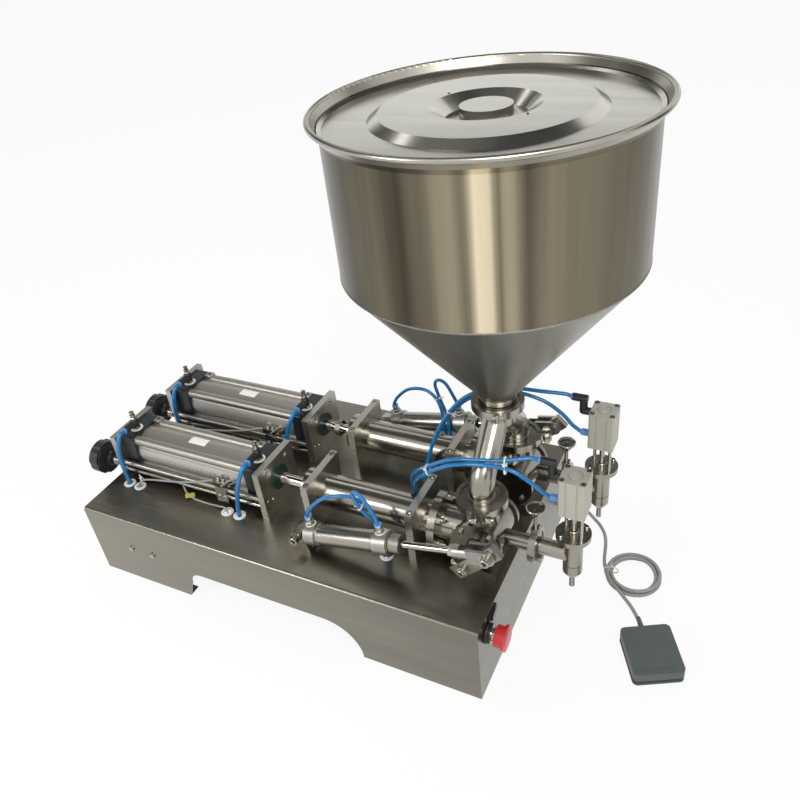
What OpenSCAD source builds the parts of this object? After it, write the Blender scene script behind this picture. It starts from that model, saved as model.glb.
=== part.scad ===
// Twin head piston filling machine for bench use.
// Frame: +Z up, origin on the floor under the middle of the machine, filling
// nozzles towards -Y. Heads stand left (-X) and right (+X) of the centre plane.
// Inside this file y = 0 is the front panel; home() moves it to the middle.

/* [Base cabinet] */
// Width of the folded steel cabinet
base_w = 440; // [400:5:520]
// Length of the cabinet from front panel to rear panel
base_l = 755; // [720:5:820]
// Height of the cabinet
base_h = 150; // [130:5:180]
// Thickness of the sheet
sheet_t = 2; // [1.5:0.5:3]
// Outer radius of the two long top bends
bend_r = 6; // [4:1:10]
// Width of the flanges turned in under the feet
flange_w = 18; // [12:1:25]
// Length of the front foot of each side
front_foot_l = 202; // [180:1:220]
// Length of the rear foot of each side
rear_foot_l = 199; // [160:1:220]
// Height of the arch cut in each side
arch_h = 66; // [40:1:80]

/* [Filling heads] */
// Distance of each head's axis from the centre plane
head_x = 77; // [76:1:82]
// Height of the cylinder axes above the deck
axis_h = 55; // [54:1:60]
// Piston travel
stroke = 150; // [120:5:150]

/* [Drive cylinders] */
// Front face of the front end plate, from the front panel
drive_y = 414; // [410:1:430]
// Clear distance between the two end plates
drive_gap = 301; // [290:1:310]
// Width of the end plates
plate_w = 100; // [96:1:104]
// Height of the end plates
plate_h = 95; // [92:1:110]
// Thickness of the end plates
plate_t = 12; // [10:1:15]
// Side of the square cylinder heads
head_sq = 75; // [72:1:76]
// Length of a cylinder head
head_l = 30; // [25:1:35]
// Bore of the drive cylinder
drive_bore = 63; // [50:1:63]
// Wall of the drive cylinder tube
drive_wall = 3.5; // [2:0.5:3.5]
// Diameter of the piston rod
rod_d = 20; // [16:1:22]
// Diameter of the rod gland nose in the front plate
nose_d = 44; // [36:1:46]

/* [Dose adjusters] */
// Side offset of the adjusting screw from the head axis
screw_x = 43.5; // [43:0.5:44.5]
// Drop of the adjusting screw below the head axis
screw_drop = 19; // [16:1:20]
// Drop of the guide rod below the head axis
guide_drop = 34; // [33:1:38]
// Diameter of the adjusting screw
screw_d = 10; // [8:1:12]
// Diameter of the guide rod
guide_d = 8; // [6:1:10]
// Diameter of the hand knob
knob_d = 62; // [50:1:70]
// Thickness of the hand knob
knob_t = 25; // [18:1:30]
// Middle of the sensor carriage behind the front end plate
carriage_at = 91; // [76:1:106]

/* [Product barrels] */
// Outer diameter of the product barrel
barrel_d = 56; // [54:1:60]
// Bore of the product barrel
barrel_bore = 50; // [46:1:50]
// Gap between the product barrel and the front end plate
barrel_gap = 64; // [54:1:69]
// Diameter of the bolted flanges
flange_d = 90; // [88:1:96]
// Thickness of each flange
flange_t = 6; // [5:1:8]
// Joint face of the two flanges, from the front panel
flange_y = 112; // [112:1:118]
// Middle of the front clamp bracket, from the front panel
front_clamp_y = 143; // [140:1:146]
// Rear clamp's middle in from the rear end of the product barrel
rear_clamp_in = 24; // [22:1:28]
// Height of the clamp brackets above the deck
clamp_h = 96; // [92:1:100]

/* [Valves] */
// Distance of the valve and hopper axis behind the front panel
valve_y = 43; // [42:1:46]
// Diameter of the valve body
valve_d = 72; // [70:1:76]
// Diameter of the valve covers
cover_d = 80; // [79:1:84]
// Bore of the valve body
valve_bore = 54; // [50:1:56]
// Reach of the valve towards the centre plane, from the head axis
valve_in = 47; // [44:1:50]
// Reach of the valve away from the centre plane, from the head axis
valve_out = 35; // [34:1:38]
// Diameter of the rotor shaft
shaft_d = 16; // [14:1:18]
// Length of the crank arm between its two pivots
crank_arm = 55; // [50:1:56]

/* [Valve actuators] */
// Distance of the actuator axis from the centre plane
act_x = 155; // [154:1:158]
// Rear pivot of the actuator, from the front panel
act_pivot_y = 326; // [324:1:330]
// Height of the rear pivot above the deck
act_pivot_h = 28; // [27:1:30]
// Diameter of the actuator's end caps
act_cap_d = 40; // [36:1:40]
// Diameter of the actuator's barrel
act_barrel_d = 34; // [30:1:35]
// Diameter of the actuator's rod
act_rod_d = 12; // [10:1:12]

/* [Hopper and feed] */
// Outer diameter of the hopper's straight body
hopper_d = 388; // [360:2:420]
// How far the hopper's rolled rim stands out from the body
rim_out = 14; // [10:1:20]
// Height of the rim above the deck
rim_h = 666; // [630:1:710]
// Height of the seam between body and cone above the deck
seam_h = 470; // [450:1:490]
// Thickness of the hopper's wall
hopper_t = 1.5; // [1:0.5:2]
// Outer diameter of the hopper's neck
neck_d = 51; // [44:1:54]
// Height of the joint between the neck and the feed pipes above the deck
joint_h = 241; // [238:1:246]
// Outer diameter of the feed pipes
feed_d = 38; // [32:1:40]
// Height of the joint between feed pipe and valve above the deck
cup_h = 121; // [120:1:123]

/* [Nozzles] */
// Distance of the nozzles in front of the front panel
nozzle_out = 93; // [90:1:100]
// How far the nozzle tips hang below the cylinder axes
tip_drop = 65; // [60:1:75]
// Diameter of the nozzle tip
tip_d = 8; // [7:0.5:12]
// Diameter of the nozzle body
nozzle_d = 28; // [26:1:32]
// Outer diameter of the outlet pipe
outlet_d = 25.4; // [22:0.2:26]
// Side of the square nozzle cylinder
shut_sq = 38; // [36:1:40]
// Height of the nozzle cylinder
shut_h = 62; // [56:1:68]

/* [Foot switch] */
// Width of the foot switch
foot_w = 77; // [70:1:84]
// Length of the foot switch
foot_l = 88; // [80:1:96]
// Height of the foot switch
foot_h = 24; // [22:1:28]
// Diameter of the foot switch cord
cord_d = 6; // [5:0.5:6]

/* [Hidden] */
$fn = 64;

// Gap of a static fit, gap of a running fit, and overrun of a cut
fit_gap = 0.05;
run_gap = 0.3;
over = 1;
LEFT = -1;
RIGHT = 1;

// Heights
deck_z = base_h;
axis_z = deck_z + axis_h;
rim_z = deck_z + rim_h;
seam_z = deck_z + seam_h;
joint_z = deck_z + joint_h;
cup_z = deck_z + cup_h;
tip_z = axis_z - tip_drop;

// The hand knob at the rear and the hopper's rim at the front set the length
plate_b_y = drive_y + plate_t + drive_gap;
carriage_y = drive_y + carriage_at;
barrel_rear_y = drive_y - barrel_gap;
rear_clamp_y = barrel_rear_y - rear_clamp_in;
knob_gap = 28;
knob_y0 = plate_b_y + plate_t + knob_gap;
knob_y1 = knob_y0 + knob_t;
disc_d = 50;
rim_d = hopper_d + 2 * rim_out;
mid_y = (knob_y1 + valve_y - rim_d / 2) / 2;

// Colours
STEEL = [0.62, 0.60, 0.56];
BRIGHT = [0.75, 0.74, 0.71];
ALLOY = [0.72, 0.71, 0.69];
BLACK = [0.08, 0.09, 0.10];
BLUE = [0.08, 0.45, 0.78];
WHITE = [0.92, 0.92, 0.90];
GREY = [0.42, 0.45, 0.45];
CORD = [0.60, 0.60, 0.57];
RED = [0.80, 0.16, 0.18];
GREEN = [0.08, 0.22, 0.19];

// Places and directions
module home() { translate([0, -mid_y, 0]) children(); }
module on_head(side) { translate([side * head_x, 0, 0]) children(); }
module outboard(side) {
    if (side == LEFT) children();
    else mirror([1, 0, 0]) children();
}
module along_x(x0, x1) { translate([x0, 0, 0]) rotate([90, 0, 90]) linear_extrude(x1 - x0) children(); }
module along_y(y0, y1) { translate([0, y1, 0]) rotate([90, 0, 0]) linear_extrude(y1 - y0) children(); }
module rod_x(d, x0, x1) { translate([x0, 0, 0]) rotate([0, 90, 0]) cylinder(d = d, h = x1 - x0); }
module rod_y(d, y0, y1) { translate([0, y0, 0]) rotate([-90, 0, 0]) cylinder(d = d, h = y1 - y0); }
module rod_z(d, z0, z1) { translate([0, 0, z0]) cylinder(d = d, h = z1 - z0); }
module at_corners(a, b) { for (i = [-1, 1], j = [-1, 1]) translate([i * a, j * b]) children(); }
module round_square(w, h, r) {
    square([w - 2 * r, h], center = true);
    square([w, h - 2 * r], center = true);
    at_corners(w / 2 - r, h / 2 - r) circle(r = r);
}
module ring_y(d, hole, y0, y1) {
    difference() {
        rod_y(d, y0, y1);
        rod_y(hole, y0 - over, y1 + over);
    }
}

// A tube swept along points: each ring's frame is carried on from the last one
function unit(v) = v / norm(v);
function way(p, i) = unit(p[min(i + 1, len(p) - 1)] - p[max(i - 1, 0)]);
function carry(n, t) = unit(n - t * (n * t));
function first_normal(t) = abs(t[2]) > 0.9 ? carry([1, 0, 0], t) : carry([0, 0, 1], t);
function frames(p, i, n) = i == len(p) ? [] :
    let (m = carry(n, way(p, i))) concat([m], frames(p, i + 1, m));
function smooth_at(a, b, c, d, u) = 0.5 * (2 * b + (c - a) * u
    + (2 * a - 5 * b + 4 * c - d) * u * u + (3 * b - a - 3 * c + d) * u * u * u);
function smooth(p, steps) = concat([for (i = [0 : len(p) - 2], k = [0 : steps - 1])
    smooth_at(i == 0 ? 2 * p[0] - p[1] : p[i - 1], p[i], p[i + 1],
        i + 2 == len(p) ? 2 * p[i + 1] - p[i] : p[i + 2], k / steps)], [p[len(p) - 1]]);
module sweep(p, d, sides) {
    n = frames(p, 0, first_normal(way(p, 0)));
    rings = [for (i = [0 : len(p) - 1], k = [0 : sides - 1])
        let (a = 360 * k / sides) p[i] + d / 2 * (cos(a) * n[i] + sin(a) * cross(way(p, i), n[i]))];
    last = (len(p) - 1) * sides;
    walls = [for (i = [0 : len(p) - 2], k = [0 : sides - 1], half = [0, 1])
        let (a = i * sides + k, b = i * sides + (k + 1) % sides)
        half == 0 ? [a, a + sides, b] : [b, a + sides, b + sides]];
    ends = [for (k = [1 : sides - 2], end = [0, 1])
        end == 0 ? [0, k, k + 1] : [last, last + k + 1, last + k]];
    polyhedron(rings, concat(walls, ends), convexity = 6);
}

// Base cabinet
arch_rear_y = base_l - rear_foot_l;
arch_lean = 15;
arch_rear_r = 26;
side_screw_in = [137, 88];
side_screw_y = [for (d = side_screw_in) base_l - d];
side_screw_z = 79;
side_screw_d = 6;
manifold_l = 86;
manifold_h = 30;
manifold_t = 20;
valve_block_w = 24;
valve_block_h = 34;
valve_block_t = 38;
estop_in = 35;
estop_x = estop_in - base_w / 2;
estop_drop = 35;
estop_z = deck_z - estop_drop;
estop_hole_d = 22;
rocker_in = 54;
rocker_x = rocker_in - base_w / 2;
rocker_drop = 13.5;
rocker_z = deck_z - rocker_drop;
rocker_w = 24;
rocker_h = 9;
rocker_hole_edge = 1;
gland_in = 15;
gland_x = base_w / 2 - gland_in;
gland_z = 25;
gland_hole_d = 12;
inlet_in = 70;
inlet_x = base_w / 2 - inlet_in;
inlet_z = 75;
inlet_hole_d = 16;

module base_profile(w, h, r) {
    translate([-w / 2, 0]) square([w, h - r]);
    translate([-w / 2 + r, 0]) square([w - 2 * r, h]);
    for (s = [-1, 1]) translate([s * (w / 2 - r), h - r]) circle(r = r);
}
module arch_outline() {
    arch_straight_y = arch_rear_y - arch_lean - arch_rear_r;
    translate([front_foot_l, -over]) square([arch_straight_y - front_foot_l, over]);
    intersection() {
        translate([front_foot_l + arch_h, 0]) circle(r = arch_h);
        translate([front_foot_l, 0]) square([arch_h, arch_h]);
    }
    translate([front_foot_l + arch_h, 0]) square([arch_straight_y - front_foot_l - arch_h, arch_h]);
    translate([arch_straight_y, arch_h - arch_rear_r]) circle(r = arch_rear_r);
    polygon([[arch_straight_y, -over], [arch_rear_y, -over], [arch_rear_y, 0],
        [arch_straight_y + arch_rear_r, arch_h - arch_rear_r], [arch_straight_y, arch_h - arch_rear_r]]);
}
module foot_flanges() {
    for (s = [-1, 1], f = [[sheet_t, front_foot_l], [arch_rear_y, base_l - sheet_t]])
        translate([s > 0 ? base_w / 2 - sheet_t - flange_w : -base_w / 2 + sheet_t / 2, f[0], 0])
            cube([flange_w + sheet_t / 2, f[1] - f[0], sheet_t]);
}
module base_shell() {
    color(STEEL) home() difference() {
        union() {
            difference() {
                along_y(0, base_l) base_profile(base_w, base_h, bend_r);
                along_y(sheet_t, base_l - sheet_t) translate([0, -over])
                    base_profile(base_w - 2 * sheet_t, base_h - sheet_t + over, bend_r - sheet_t);
            }
            foot_flanges();
        }
        along_x(-base_w / 2 - over, base_w / 2 + over) arch_outline();
        for (side = [LEFT, RIGHT], y = side_screw_y) outboard(side) translate([0, y, side_screw_z])
            rod_x(side_screw_d, -base_w / 2 - over, -base_w / 2 + sheet_t + over);
        translate([estop_x, 0, estop_z]) rod_y(estop_hole_d, -over, sheet_t + over);
        along_y(-over, sheet_t + over) translate([rocker_x, rocker_z])
            square([rocker_w + 2 * rocker_hole_edge, rocker_h + 2 * rocker_hole_edge], center = true);
        translate([gland_x, 0, gland_z]) rod_y(gland_hole_d, -over, sheet_t + over);
        translate([inlet_x, 0, inlet_z]) rod_y(inlet_hole_d, base_l - sheet_t - over, base_l + over);
        for (p = grommet_places) translate([p[0], p[1], 0])
            rod_z(grommet_neck_d, deck_z - sheet_t - over, deck_z + over);
    }
}
module valve_manifolds() {
    manifold_y = (side_screw_y[0] + side_screw_y[1]) / 2;
    wall_x = -base_w / 2 + sheet_t;
    color(ALLOY) home() for (side = [LEFT, RIGHT]) outboard(side) difference() {
        translate([wall_x, manifold_y - manifold_l / 2, side_screw_z - manifold_h / 2])
            cube([manifold_t, manifold_l, manifold_h]);
        for (y = side_screw_y) translate([0, y, side_screw_z])
            rod_x(side_screw_d, wall_x - over, wall_x + manifold_t / 2);
    }
    color(WHITE) home() for (side = [LEFT, RIGHT], s = [-1, 1]) outboard(side)
        translate([wall_x + manifold_t, manifold_y + s * valve_block_w - valve_block_w / 2,
            side_screw_z - valve_block_h / 2]) cube([valve_block_t, valve_block_w, valve_block_h]);
}

// Air inlet: a push-in bulkhead fitting for a 10 mm tube
inlet_tube_d = 10;
inlet_hex_d = 24;
inlet_out = 22;
inlet_hex_l = 8;
inlet_depth = 16;
module air_inlet() {
    color(ALLOY) home() translate([inlet_x, base_l, inlet_z]) difference() {
        union() {
            rod_y(inlet_hole_d - 2 * fit_gap, -inlet_out, 0);
            translate([0, 0, 0]) rod_y(inlet_hole_d - 2 * fit_gap, 0, inlet_out);
            rotate([-90, 0, 0]) cylinder(d = inlet_hex_d, h = inlet_hex_l, $fn = 6);
            translate([0, -sheet_t - inlet_hex_l, 0]) rotate([-90, 0, 0])
                cylinder(d = inlet_hex_d, h = inlet_hex_l, $fn = 6);
        }
        rod_y(inlet_tube_d, inlet_out - inlet_depth, inlet_out + over);
    }
}

// Grommets: where tubes and leads go through the deck
grommet_d = 22;
grommet_hole_d = 13;
grommet_neck_d = 16;
grommet_lip = 2;
tube_grommet_x = 60;
rear_tube_in = 9;
rear_lead_in = 34;
front_lead_in = 80;
front_tube_in = 54;
rear_tube_y = plate_b_y - rear_tube_in;
rear_lead_y = plate_b_y - rear_lead_in;
front_lead_y = drive_y + front_lead_in;
front_tube_y = drive_y + front_tube_in;
act_grommet_x = 131;
act_grommet_y = 187;
nozzle_grommet_x = [-38, 15];
nozzle_grommet_y = [172, 182];
grommet_places = concat(
    [for (s = [-1, 1], y = [rear_tube_y, rear_lead_y, front_lead_y, front_tube_y])
        [s * head_x - tube_grommet_x, y]],
    [for (s = [-1, 1]) [s * act_grommet_x, act_grommet_y]],
    [for (i = [0, 1]) [nozzle_grommet_x[i], nozzle_grommet_y[i]]]);
module deck_grommets() {
    color(WHITE) home() for (p = grommet_places) translate([p[0], p[1], deck_z]) rotate_extrude()
        difference() {
            union() {
                translate([grommet_hole_d / 2, 0]) square([(grommet_d - grommet_hole_d) / 2, grommet_lip]);
                translate([grommet_hole_d / 2, -sheet_t])
                    square([(grommet_neck_d - grommet_hole_d) / 2 - fit_gap, sheet_t]);
            }
            translate([grommet_d / 2, grommet_lip]) circle(r = grommet_lip / 2);
        }
}

// Hopper: a drum with a rolled rim, welded to a funnel with a neck ferrule
ferrule_d = 64;
ferrule_t = 3.4;
ferrule_gap = 0.2;
neck_l = 16;
ledge_drop = 20;
ledge_z = rim_z - ledge_drop;
bead_d = 7;
bead_z = rim_z - bead_d / 2;
hopper_in_r = hopper_d / 2 - hopper_t;
module hopper_drum() {
    bead_at = rim_d / 2 - bead_d / 2;
    color(STEEL) home() translate([0, valve_y, 0]) rotate_extrude($fn = 128) {
        polygon([[hopper_d / 2, seam_z], [hopper_d / 2, ledge_z - hopper_t / 2], [bead_at, rim_z - bead_d],
            [bead_at, bead_z], [rim_d / 2 - bead_d, bead_z], [hopper_in_r, ledge_z], [hopper_in_r, seam_z]]);
        translate([bead_at, bead_z]) circle(d = bead_d, $fn = 32);
    }
}
module hopper_funnel() {
    neck_in = neck_d / 2 - hopper_t;
    color(STEEL) home() translate([0, valve_y, 0]) rotate_extrude($fn = 128)
        polygon([[neck_in, joint_z], [ferrule_d / 2, joint_z], [ferrule_d / 2, joint_z + ferrule_t],
            [neck_d / 2, joint_z + ferrule_t], [neck_d / 2, joint_z + neck_l], [hopper_d / 2, seam_z],
            [hopper_in_r, seam_z], [neck_in, joint_z + neck_l]]);
}

// Lid: a pressed sheet that drops into the rim, with a sunk grip in the middle
lid_t = 1.5;
lid_play = 1;
lid_turn = 5;
raise_r = 137;
raise_in_r = 125;
raise_h = 9;
grip_r = 65;
grip_floor_r = 48;
grip_depth = 16;
button_r = 31;
button_h = 15;
module hopper_lid() {
    seat_r = hopper_d / 2 + lid_play;
    flare = (bead_z - ledge_z) / (rim_d / 2 - bead_d - hopper_d / 2 + hopper_t);
    seat_z = ledge_z + flare * (seat_r - hopper_d / 2 + hopper_t) + run_gap * norm([1, flare]) - lid_turn / 2;
    top_z = seat_z + raise_h;
    floor_z = top_z - grip_depth;
    color(BRIGHT) home() translate([0, valve_y, 0]) rotate_extrude($fn = 128)
        polygon([[0, floor_z], [grip_floor_r, floor_z], [grip_r, top_z - lid_t], [raise_in_r, top_z - lid_t],
            [raise_r, seat_z], [seat_r - lid_turn, seat_z], [seat_r, seat_z + lid_turn / 2],
            [seat_r, seat_z + lid_turn / 2 + lid_t], [seat_r - lid_turn, seat_z + lid_t],
            [raise_r + lid_t / 2, seat_z + lid_t], [raise_in_r, top_z], [grip_r, top_z],
            [grip_floor_r, floor_z + lid_t], [button_r, floor_z + lid_t], [button_r, floor_z + button_h],
            [0, floor_z + button_h]]);
}

// Hinged clamp ring round two ferrules, with its ear and bolt
ring_wall = 6.5;
ring_h = 12;
ear_l = 16;
ear_w = 14;
ear_bolt_d = 6;
ear_nut_d = 12;
ear_nut_h = 7;
module clamp_ring(inner_d, wall, h) {
    outer_r = inner_d / 2 + wall;
    difference() {
        union() {
            rod_z(2 * outer_r, -h / 2, h / 2);
            translate([0, -ear_w / 2, -h / 2]) cube([outer_r + ear_l, ear_w, h]);
        }
        rod_z(inner_d + 2 * fit_gap, -h, h);
        translate([inner_d / 2 - over, -hopper_t / 2, -h]) cube([outer_r + ear_l, hopper_t, 2 * h]);
    }
    translate([outer_r + ear_l / 2, 0, 0]) for (s = [-1, 1]) translate([0, s * ear_w / 2, 0])
        rotate([-s * 90, 0, 0]) cylinder(d = ear_nut_d, h = ear_nut_h, $fn = 6);
}
module pipe_clamps() {
    hopper_ear_angle = 20;
    feed_ear_angle = 200;
    color(BRIGHT) home() translate([0, valve_y, 0]) {
        translate([0, 0, joint_z]) rotate(hopper_ear_angle) clamp_ring(ferrule_d, ring_wall, ring_h);
        for (side = [LEFT, RIGHT]) on_head(side) translate([0, 0, cup_z])
            rotate(side == LEFT ? feed_ear_angle : feed_ear_angle + 90)
                clamp_ring(ferrule_d, ring_wall, ring_h);
    }
}

// Feed pipes: two bent legs welded into one neck
feed_t = 2;
bend_mid_r = 45;
leg_angle = 45;
crotch_drop = 14;
crotch_z = joint_z - crotch_drop;
neck_skirt = 15;
bend_z = crotch_z - head_x;
bend_start_z = bend_z - bend_mid_r * tan(leg_angle / 2);
bend_step = 0.3;
module leg(d) {
    slope_l = norm([head_x, head_x]) - bend_mid_r * tan(leg_angle / 2);
    rod_z(d, cup_z + ferrule_gap, bend_start_z + over);
    translate([bend_mid_r, 0, bend_start_z]) rotate([90, 0, 0]) rotate([0, 0, 180 - leg_angle])
        rotate_extrude(angle = leg_angle) translate([bend_mid_r, 0]) circle(d = d + bend_step);
    translate([bend_mid_r * (1 - cos(leg_angle)), 0, bend_start_z + bend_mid_r * sin(leg_angle)])
        rotate([0, leg_angle, 0]) translate([0, 0, -over]) cylinder(d = d, h = slope_l + over);
}
module feed_manifold() {
    color(BRIGHT) home() translate([0, valve_y, 0]) difference() {
        union() {
            for (side = [LEFT, RIGHT]) outboard(side) translate([-head_x, 0, 0]) leg(feed_d);
            for (side = [LEFT, RIGHT]) on_head(side)
                rod_z(ferrule_d, cup_z + ferrule_gap, cup_z + ferrule_gap + ferrule_t);
            rod_z(neck_d, crotch_z - neck_skirt, joint_z - ferrule_gap);
            rod_z(ferrule_d, joint_z - ferrule_gap - ferrule_t, joint_z - ferrule_gap);
        }
        for (side = [LEFT, RIGHT]) outboard(side) translate([-head_x, 0, 0]) leg(feed_d - 2 * feed_t);
        for (side = [LEFT, RIGHT]) on_head(side) rod_z(feed_d - 2 * feed_t, cup_z - over, bend_start_z);
        rod_z(neck_d - 2 * hopper_t, crotch_z, joint_z + over);
    }
}

// Emergency stop and rocker switch
collar_d = 30;
collar_t = 8;
neck_ring_d = 20;
neck_ring_l = 10;
stem_d = 8;
stem_in = 14;
contact_block_w = 29;
contact_block_l = 42;
cap_gap = 6;
cap_barrel_d = 33;
cap_barrel_l = 12;
cap_face_d = 40;
cap_face_t = 5;
bezel_w = 30;
bezel_h = 13;
bezel_t = 3;
paddle_w = 22;
paddle_h = 7.8;
paddle_out = 5;
paddle_in = 4;
paddle_pivot_y = 2;
paddle_pin_d = 2;
paddle_tilt = 8;
rocker_body_l = 16;
module switch_collars() {
    color(BLACK) home() translate([estop_x, 0, estop_z]) difference() {
        union() {
            rod_y(collar_d, -collar_t, 0);
            rod_y(estop_hole_d - 2 * fit_gap, -over, sheet_t);
            translate([-contact_block_w / 2, sheet_t, -contact_block_w / 2])
                cube([contact_block_w, contact_block_l, contact_block_w]);
        }
        rod_y(stem_d + 2 * run_gap, -collar_t - over, stem_in + collar_t);
    }
    color(BRIGHT) home() translate([estop_x, 0, estop_z])
        ring_y(neck_ring_d, stem_d + 2 * run_gap, -collar_t - neck_ring_l, -collar_t);
    color(BLACK) home() translate([rocker_x, 0, rocker_z]) difference() {
        union() {
            along_y(-bezel_t, 0) square([bezel_w, bezel_h], center = true);
            along_y(-over, rocker_body_l) square([rocker_w + 2 * rocker_hole_edge - 2 * fit_gap,
                rocker_h + 2 * rocker_hole_edge - 2 * fit_gap], center = true);
        }
        along_y(-bezel_t - over, rocker_body_l - sheet_t) square([rocker_w, rocker_h], center = true);
    }
}
module estop_button() {
    cap_back_y = -collar_t - cap_gap;
    color(RED) home() translate([estop_x, 0, estop_z]) {
        difference() {
            union() {
                rod_y(cap_barrel_d, cap_back_y - cap_barrel_l, cap_back_y);
                rod_y(cap_face_d, cap_back_y - cap_barrel_l - cap_face_t, cap_back_y - cap_barrel_l);
            }
            rod_y(neck_ring_d + 2 * run_gap, cap_back_y - cap_barrel_l, cap_back_y + over);
        }
        rod_y(stem_d, cap_back_y - cap_barrel_l - over, collar_t);
    }
}
module power_rocker() {
    color(BLACK) home() translate([rocker_x, paddle_pivot_y, rocker_z]) rotate([0, 0, paddle_tilt])
        translate([-paddle_w / 2, -paddle_out - paddle_pivot_y, -paddle_h / 2])
            cube([paddle_w, paddle_out + paddle_pivot_y + paddle_in, paddle_h]);
    color(BLACK) home() translate([rocker_x, paddle_pivot_y, rocker_z])
        rod_z(paddle_pin_d, -paddle_h / 2 - run_gap, paddle_h / 2 + run_gap);
}

// Foot switch: base, treadle, gland and cord
foot_place = [-58, -214];
foot_turn = -62.8;
foot_corner = 8;
foot_plate_t = 3;
foot_block_top = 10;
foot_block_edge = 4;
treadle_wall = 2.5;
treadle_z = 9;
hinge_in = 9;
hinge_z = 14;
hinge_pin_d = 4;
hinge_lug_d = 9;
hinge_lug_w = 8;
hinge_lug_x = 22;
micro_w = 30;
micro_h = 5;
boss_d = 9;
boss_out = 8;
boss_z = 6;
module at_foot() { home() translate([foot_place[0], foot_place[1], 0]) rotate(foot_turn) children(); }
module foot_switch_base() {
    color(GREY) at_foot() difference() {
        union() {
            linear_extrude(foot_plate_t) round_square(foot_w, foot_l, foot_corner);
            linear_extrude(foot_block_top) round_square(foot_w - 2 * (treadle_wall + foot_block_edge / 2),
                foot_l - 2 * (treadle_wall + foot_block_edge / 2), foot_corner / 2);
            translate([-micro_w / 2, -micro_w / 2, 0]) cube([micro_w, micro_w, foot_block_top + micro_h]);
            for (s = [-1, 1]) translate([s * hinge_lug_x, foot_l / 2 - hinge_in, hinge_z]) hull() {
                rod_x(hinge_lug_d, -hinge_lug_w / 2, hinge_lug_w / 2);
                translate([0, 0, foot_block_top - hinge_z - over])
                    rod_x(hinge_lug_d / 2, -hinge_lug_w / 2, hinge_lug_w / 2);
            }
            translate([0, 0, boss_z])
                rod_y(boss_d, foot_l / 2 - foot_block_edge - treadle_wall, foot_l / 2 + boss_out);
        }
        translate([0, foot_l / 2 - hinge_in, hinge_z]) rod_x(hinge_pin_d + 2 * run_gap, -foot_w, foot_w);
    }
}
module foot_switch_treadle() {
    inner_w = foot_w - 2 * treadle_wall;
    color(GREY) at_foot() {
        difference() {
            translate([0, 0, treadle_z]) linear_extrude(foot_h - treadle_z)
                round_square(foot_w, foot_l, foot_corner);
            translate([0, 0, treadle_z - over]) linear_extrude(foot_h - treadle_z - treadle_wall + over)
                round_square(inner_w, foot_l - 2 * treadle_wall, foot_corner - treadle_wall);
            translate([0, 0, boss_z])
                rod_y(boss_d + foot_block_edge, foot_l / 2 - treadle_wall - over, foot_l);
        }
        translate([0, foot_l / 2 - hinge_in, hinge_z])
            rod_x(hinge_pin_d, -inner_w / 2 - treadle_wall / 2, inner_w / 2 + treadle_wall / 2);
    }
}
gland_d = 18;
gland_l = 9;
gland_nose_d = 13;
gland_nose_l = 7;
module cord_gland() {
    color(BLACK) home() translate([gland_x, 0, gland_z]) {
        rotate([90, 0, 0]) cylinder(d = gland_d, h = gland_l, $fn = 6);
        rod_y(gland_nose_d, -gland_l - gland_nose_l, -gland_l);
        rod_y(gland_hole_d - 2 * fit_gap, -over, sheet_t + gland_l);
        translate([0, sheet_t, 0]) rotate([-90, 0, 0]) cylinder(d = gland_d, h = gland_l / 2, $fn = 6);
    }
}

// Cord coil: bottom layer winds in, climbs where the spiral turns, top layer winds out
coil_at = [95, -155];
coil_r = 44.5;
coil_pitch = 6.6;
coil_start = 112;
coil_turns = 3.083;
coil_reverse = 1.5;
coil_climb = 0.5;
coil_steps = 74;
coil_angle = function (t) coil_start + 360 * t;
coil_radius = function (t) coil_r - coil_pitch * (t < coil_reverse ? t : 2 * coil_reverse - t);
function ease(u) = u <= 0 ? 0 : u >= 1 ? 1 : u * u * (3 - 2 * u);
function coil_point(t) = [coil_at[0] + coil_radius(t) * cos(coil_angle(t)),
    coil_at[1] + coil_radius(t) * sin(coil_angle(t)),
    cord_d / 2 + coil_pitch * ease((t - coil_reverse + coil_climb / 2) / coil_climb)];
coil_line = [for (i = [0 : coil_steps]) coil_point(coil_turns * i / coil_steps)];
coil_in = unit(coil_line[0] - coil_line[1]);
coil_out = unit(coil_line[coil_steps] - coil_line[coil_steps - 1]);
coil_full = concat([coil_line[0] + coil_in * cord_d], coil_line, [coil_line[coil_steps] + coil_out * cord_d]);
coil_gap = min([for (i = [0 : coil_steps], j = [0 : coil_steps]) if (j > i + 12)
    norm(coil_line[i] - coil_line[j])]) - cord_d;
echo(coil_gap = coil_gap);
// Cord routes, chosen by hand: gland to coil, and coil to foot switch
cord_from_gland = [[gland_x, -16, gland_z], [gland_x, -22, gland_z], [gland_x, -28, 24.5],
    [206, -38, 21], [206, -48, 14], [203, -58, 7], [197, -68, 3.5], [187, -77, 3], [174, -85, 3],
    [158, -91, 3], [140, -95, 3], [122, -98, 3],
    [106, -102, 3]];
cord_to_foot = [[32, -160, 4.5], [20, -171, 3.5], [7, -180, 4], [-4, -186, 5.2]];
foot_exit = [foot_place[0] + (foot_l / 2 + boss_out) * -sin(foot_turn),
    foot_place[1] + (foot_l / 2 + boss_out) * cos(foot_turn), boss_z];
foot_way = [-sin(foot_turn), cos(foot_turn), 0];
coil_entry = coil_line[0] + coil_in * cord_d;
coil_exit = coil_line[coil_steps] + coil_out * cord_d;
module foot_cord() {
    color(CORD) home() {
        sweep(concat(cord_from_gland, [coil_entry + coil_in * cord_d, coil_entry]), cord_d, 8);
        sweep(concat([coil_exit, coil_exit + coil_out * cord_d], cord_to_foot,
            [foot_exit + foot_way * cord_d, foot_exit]), cord_d, 8);
    }
}
module foot_cord_coil() {
    color(CORD) home() sweep(coil_full, cord_d, 6);
}

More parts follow.
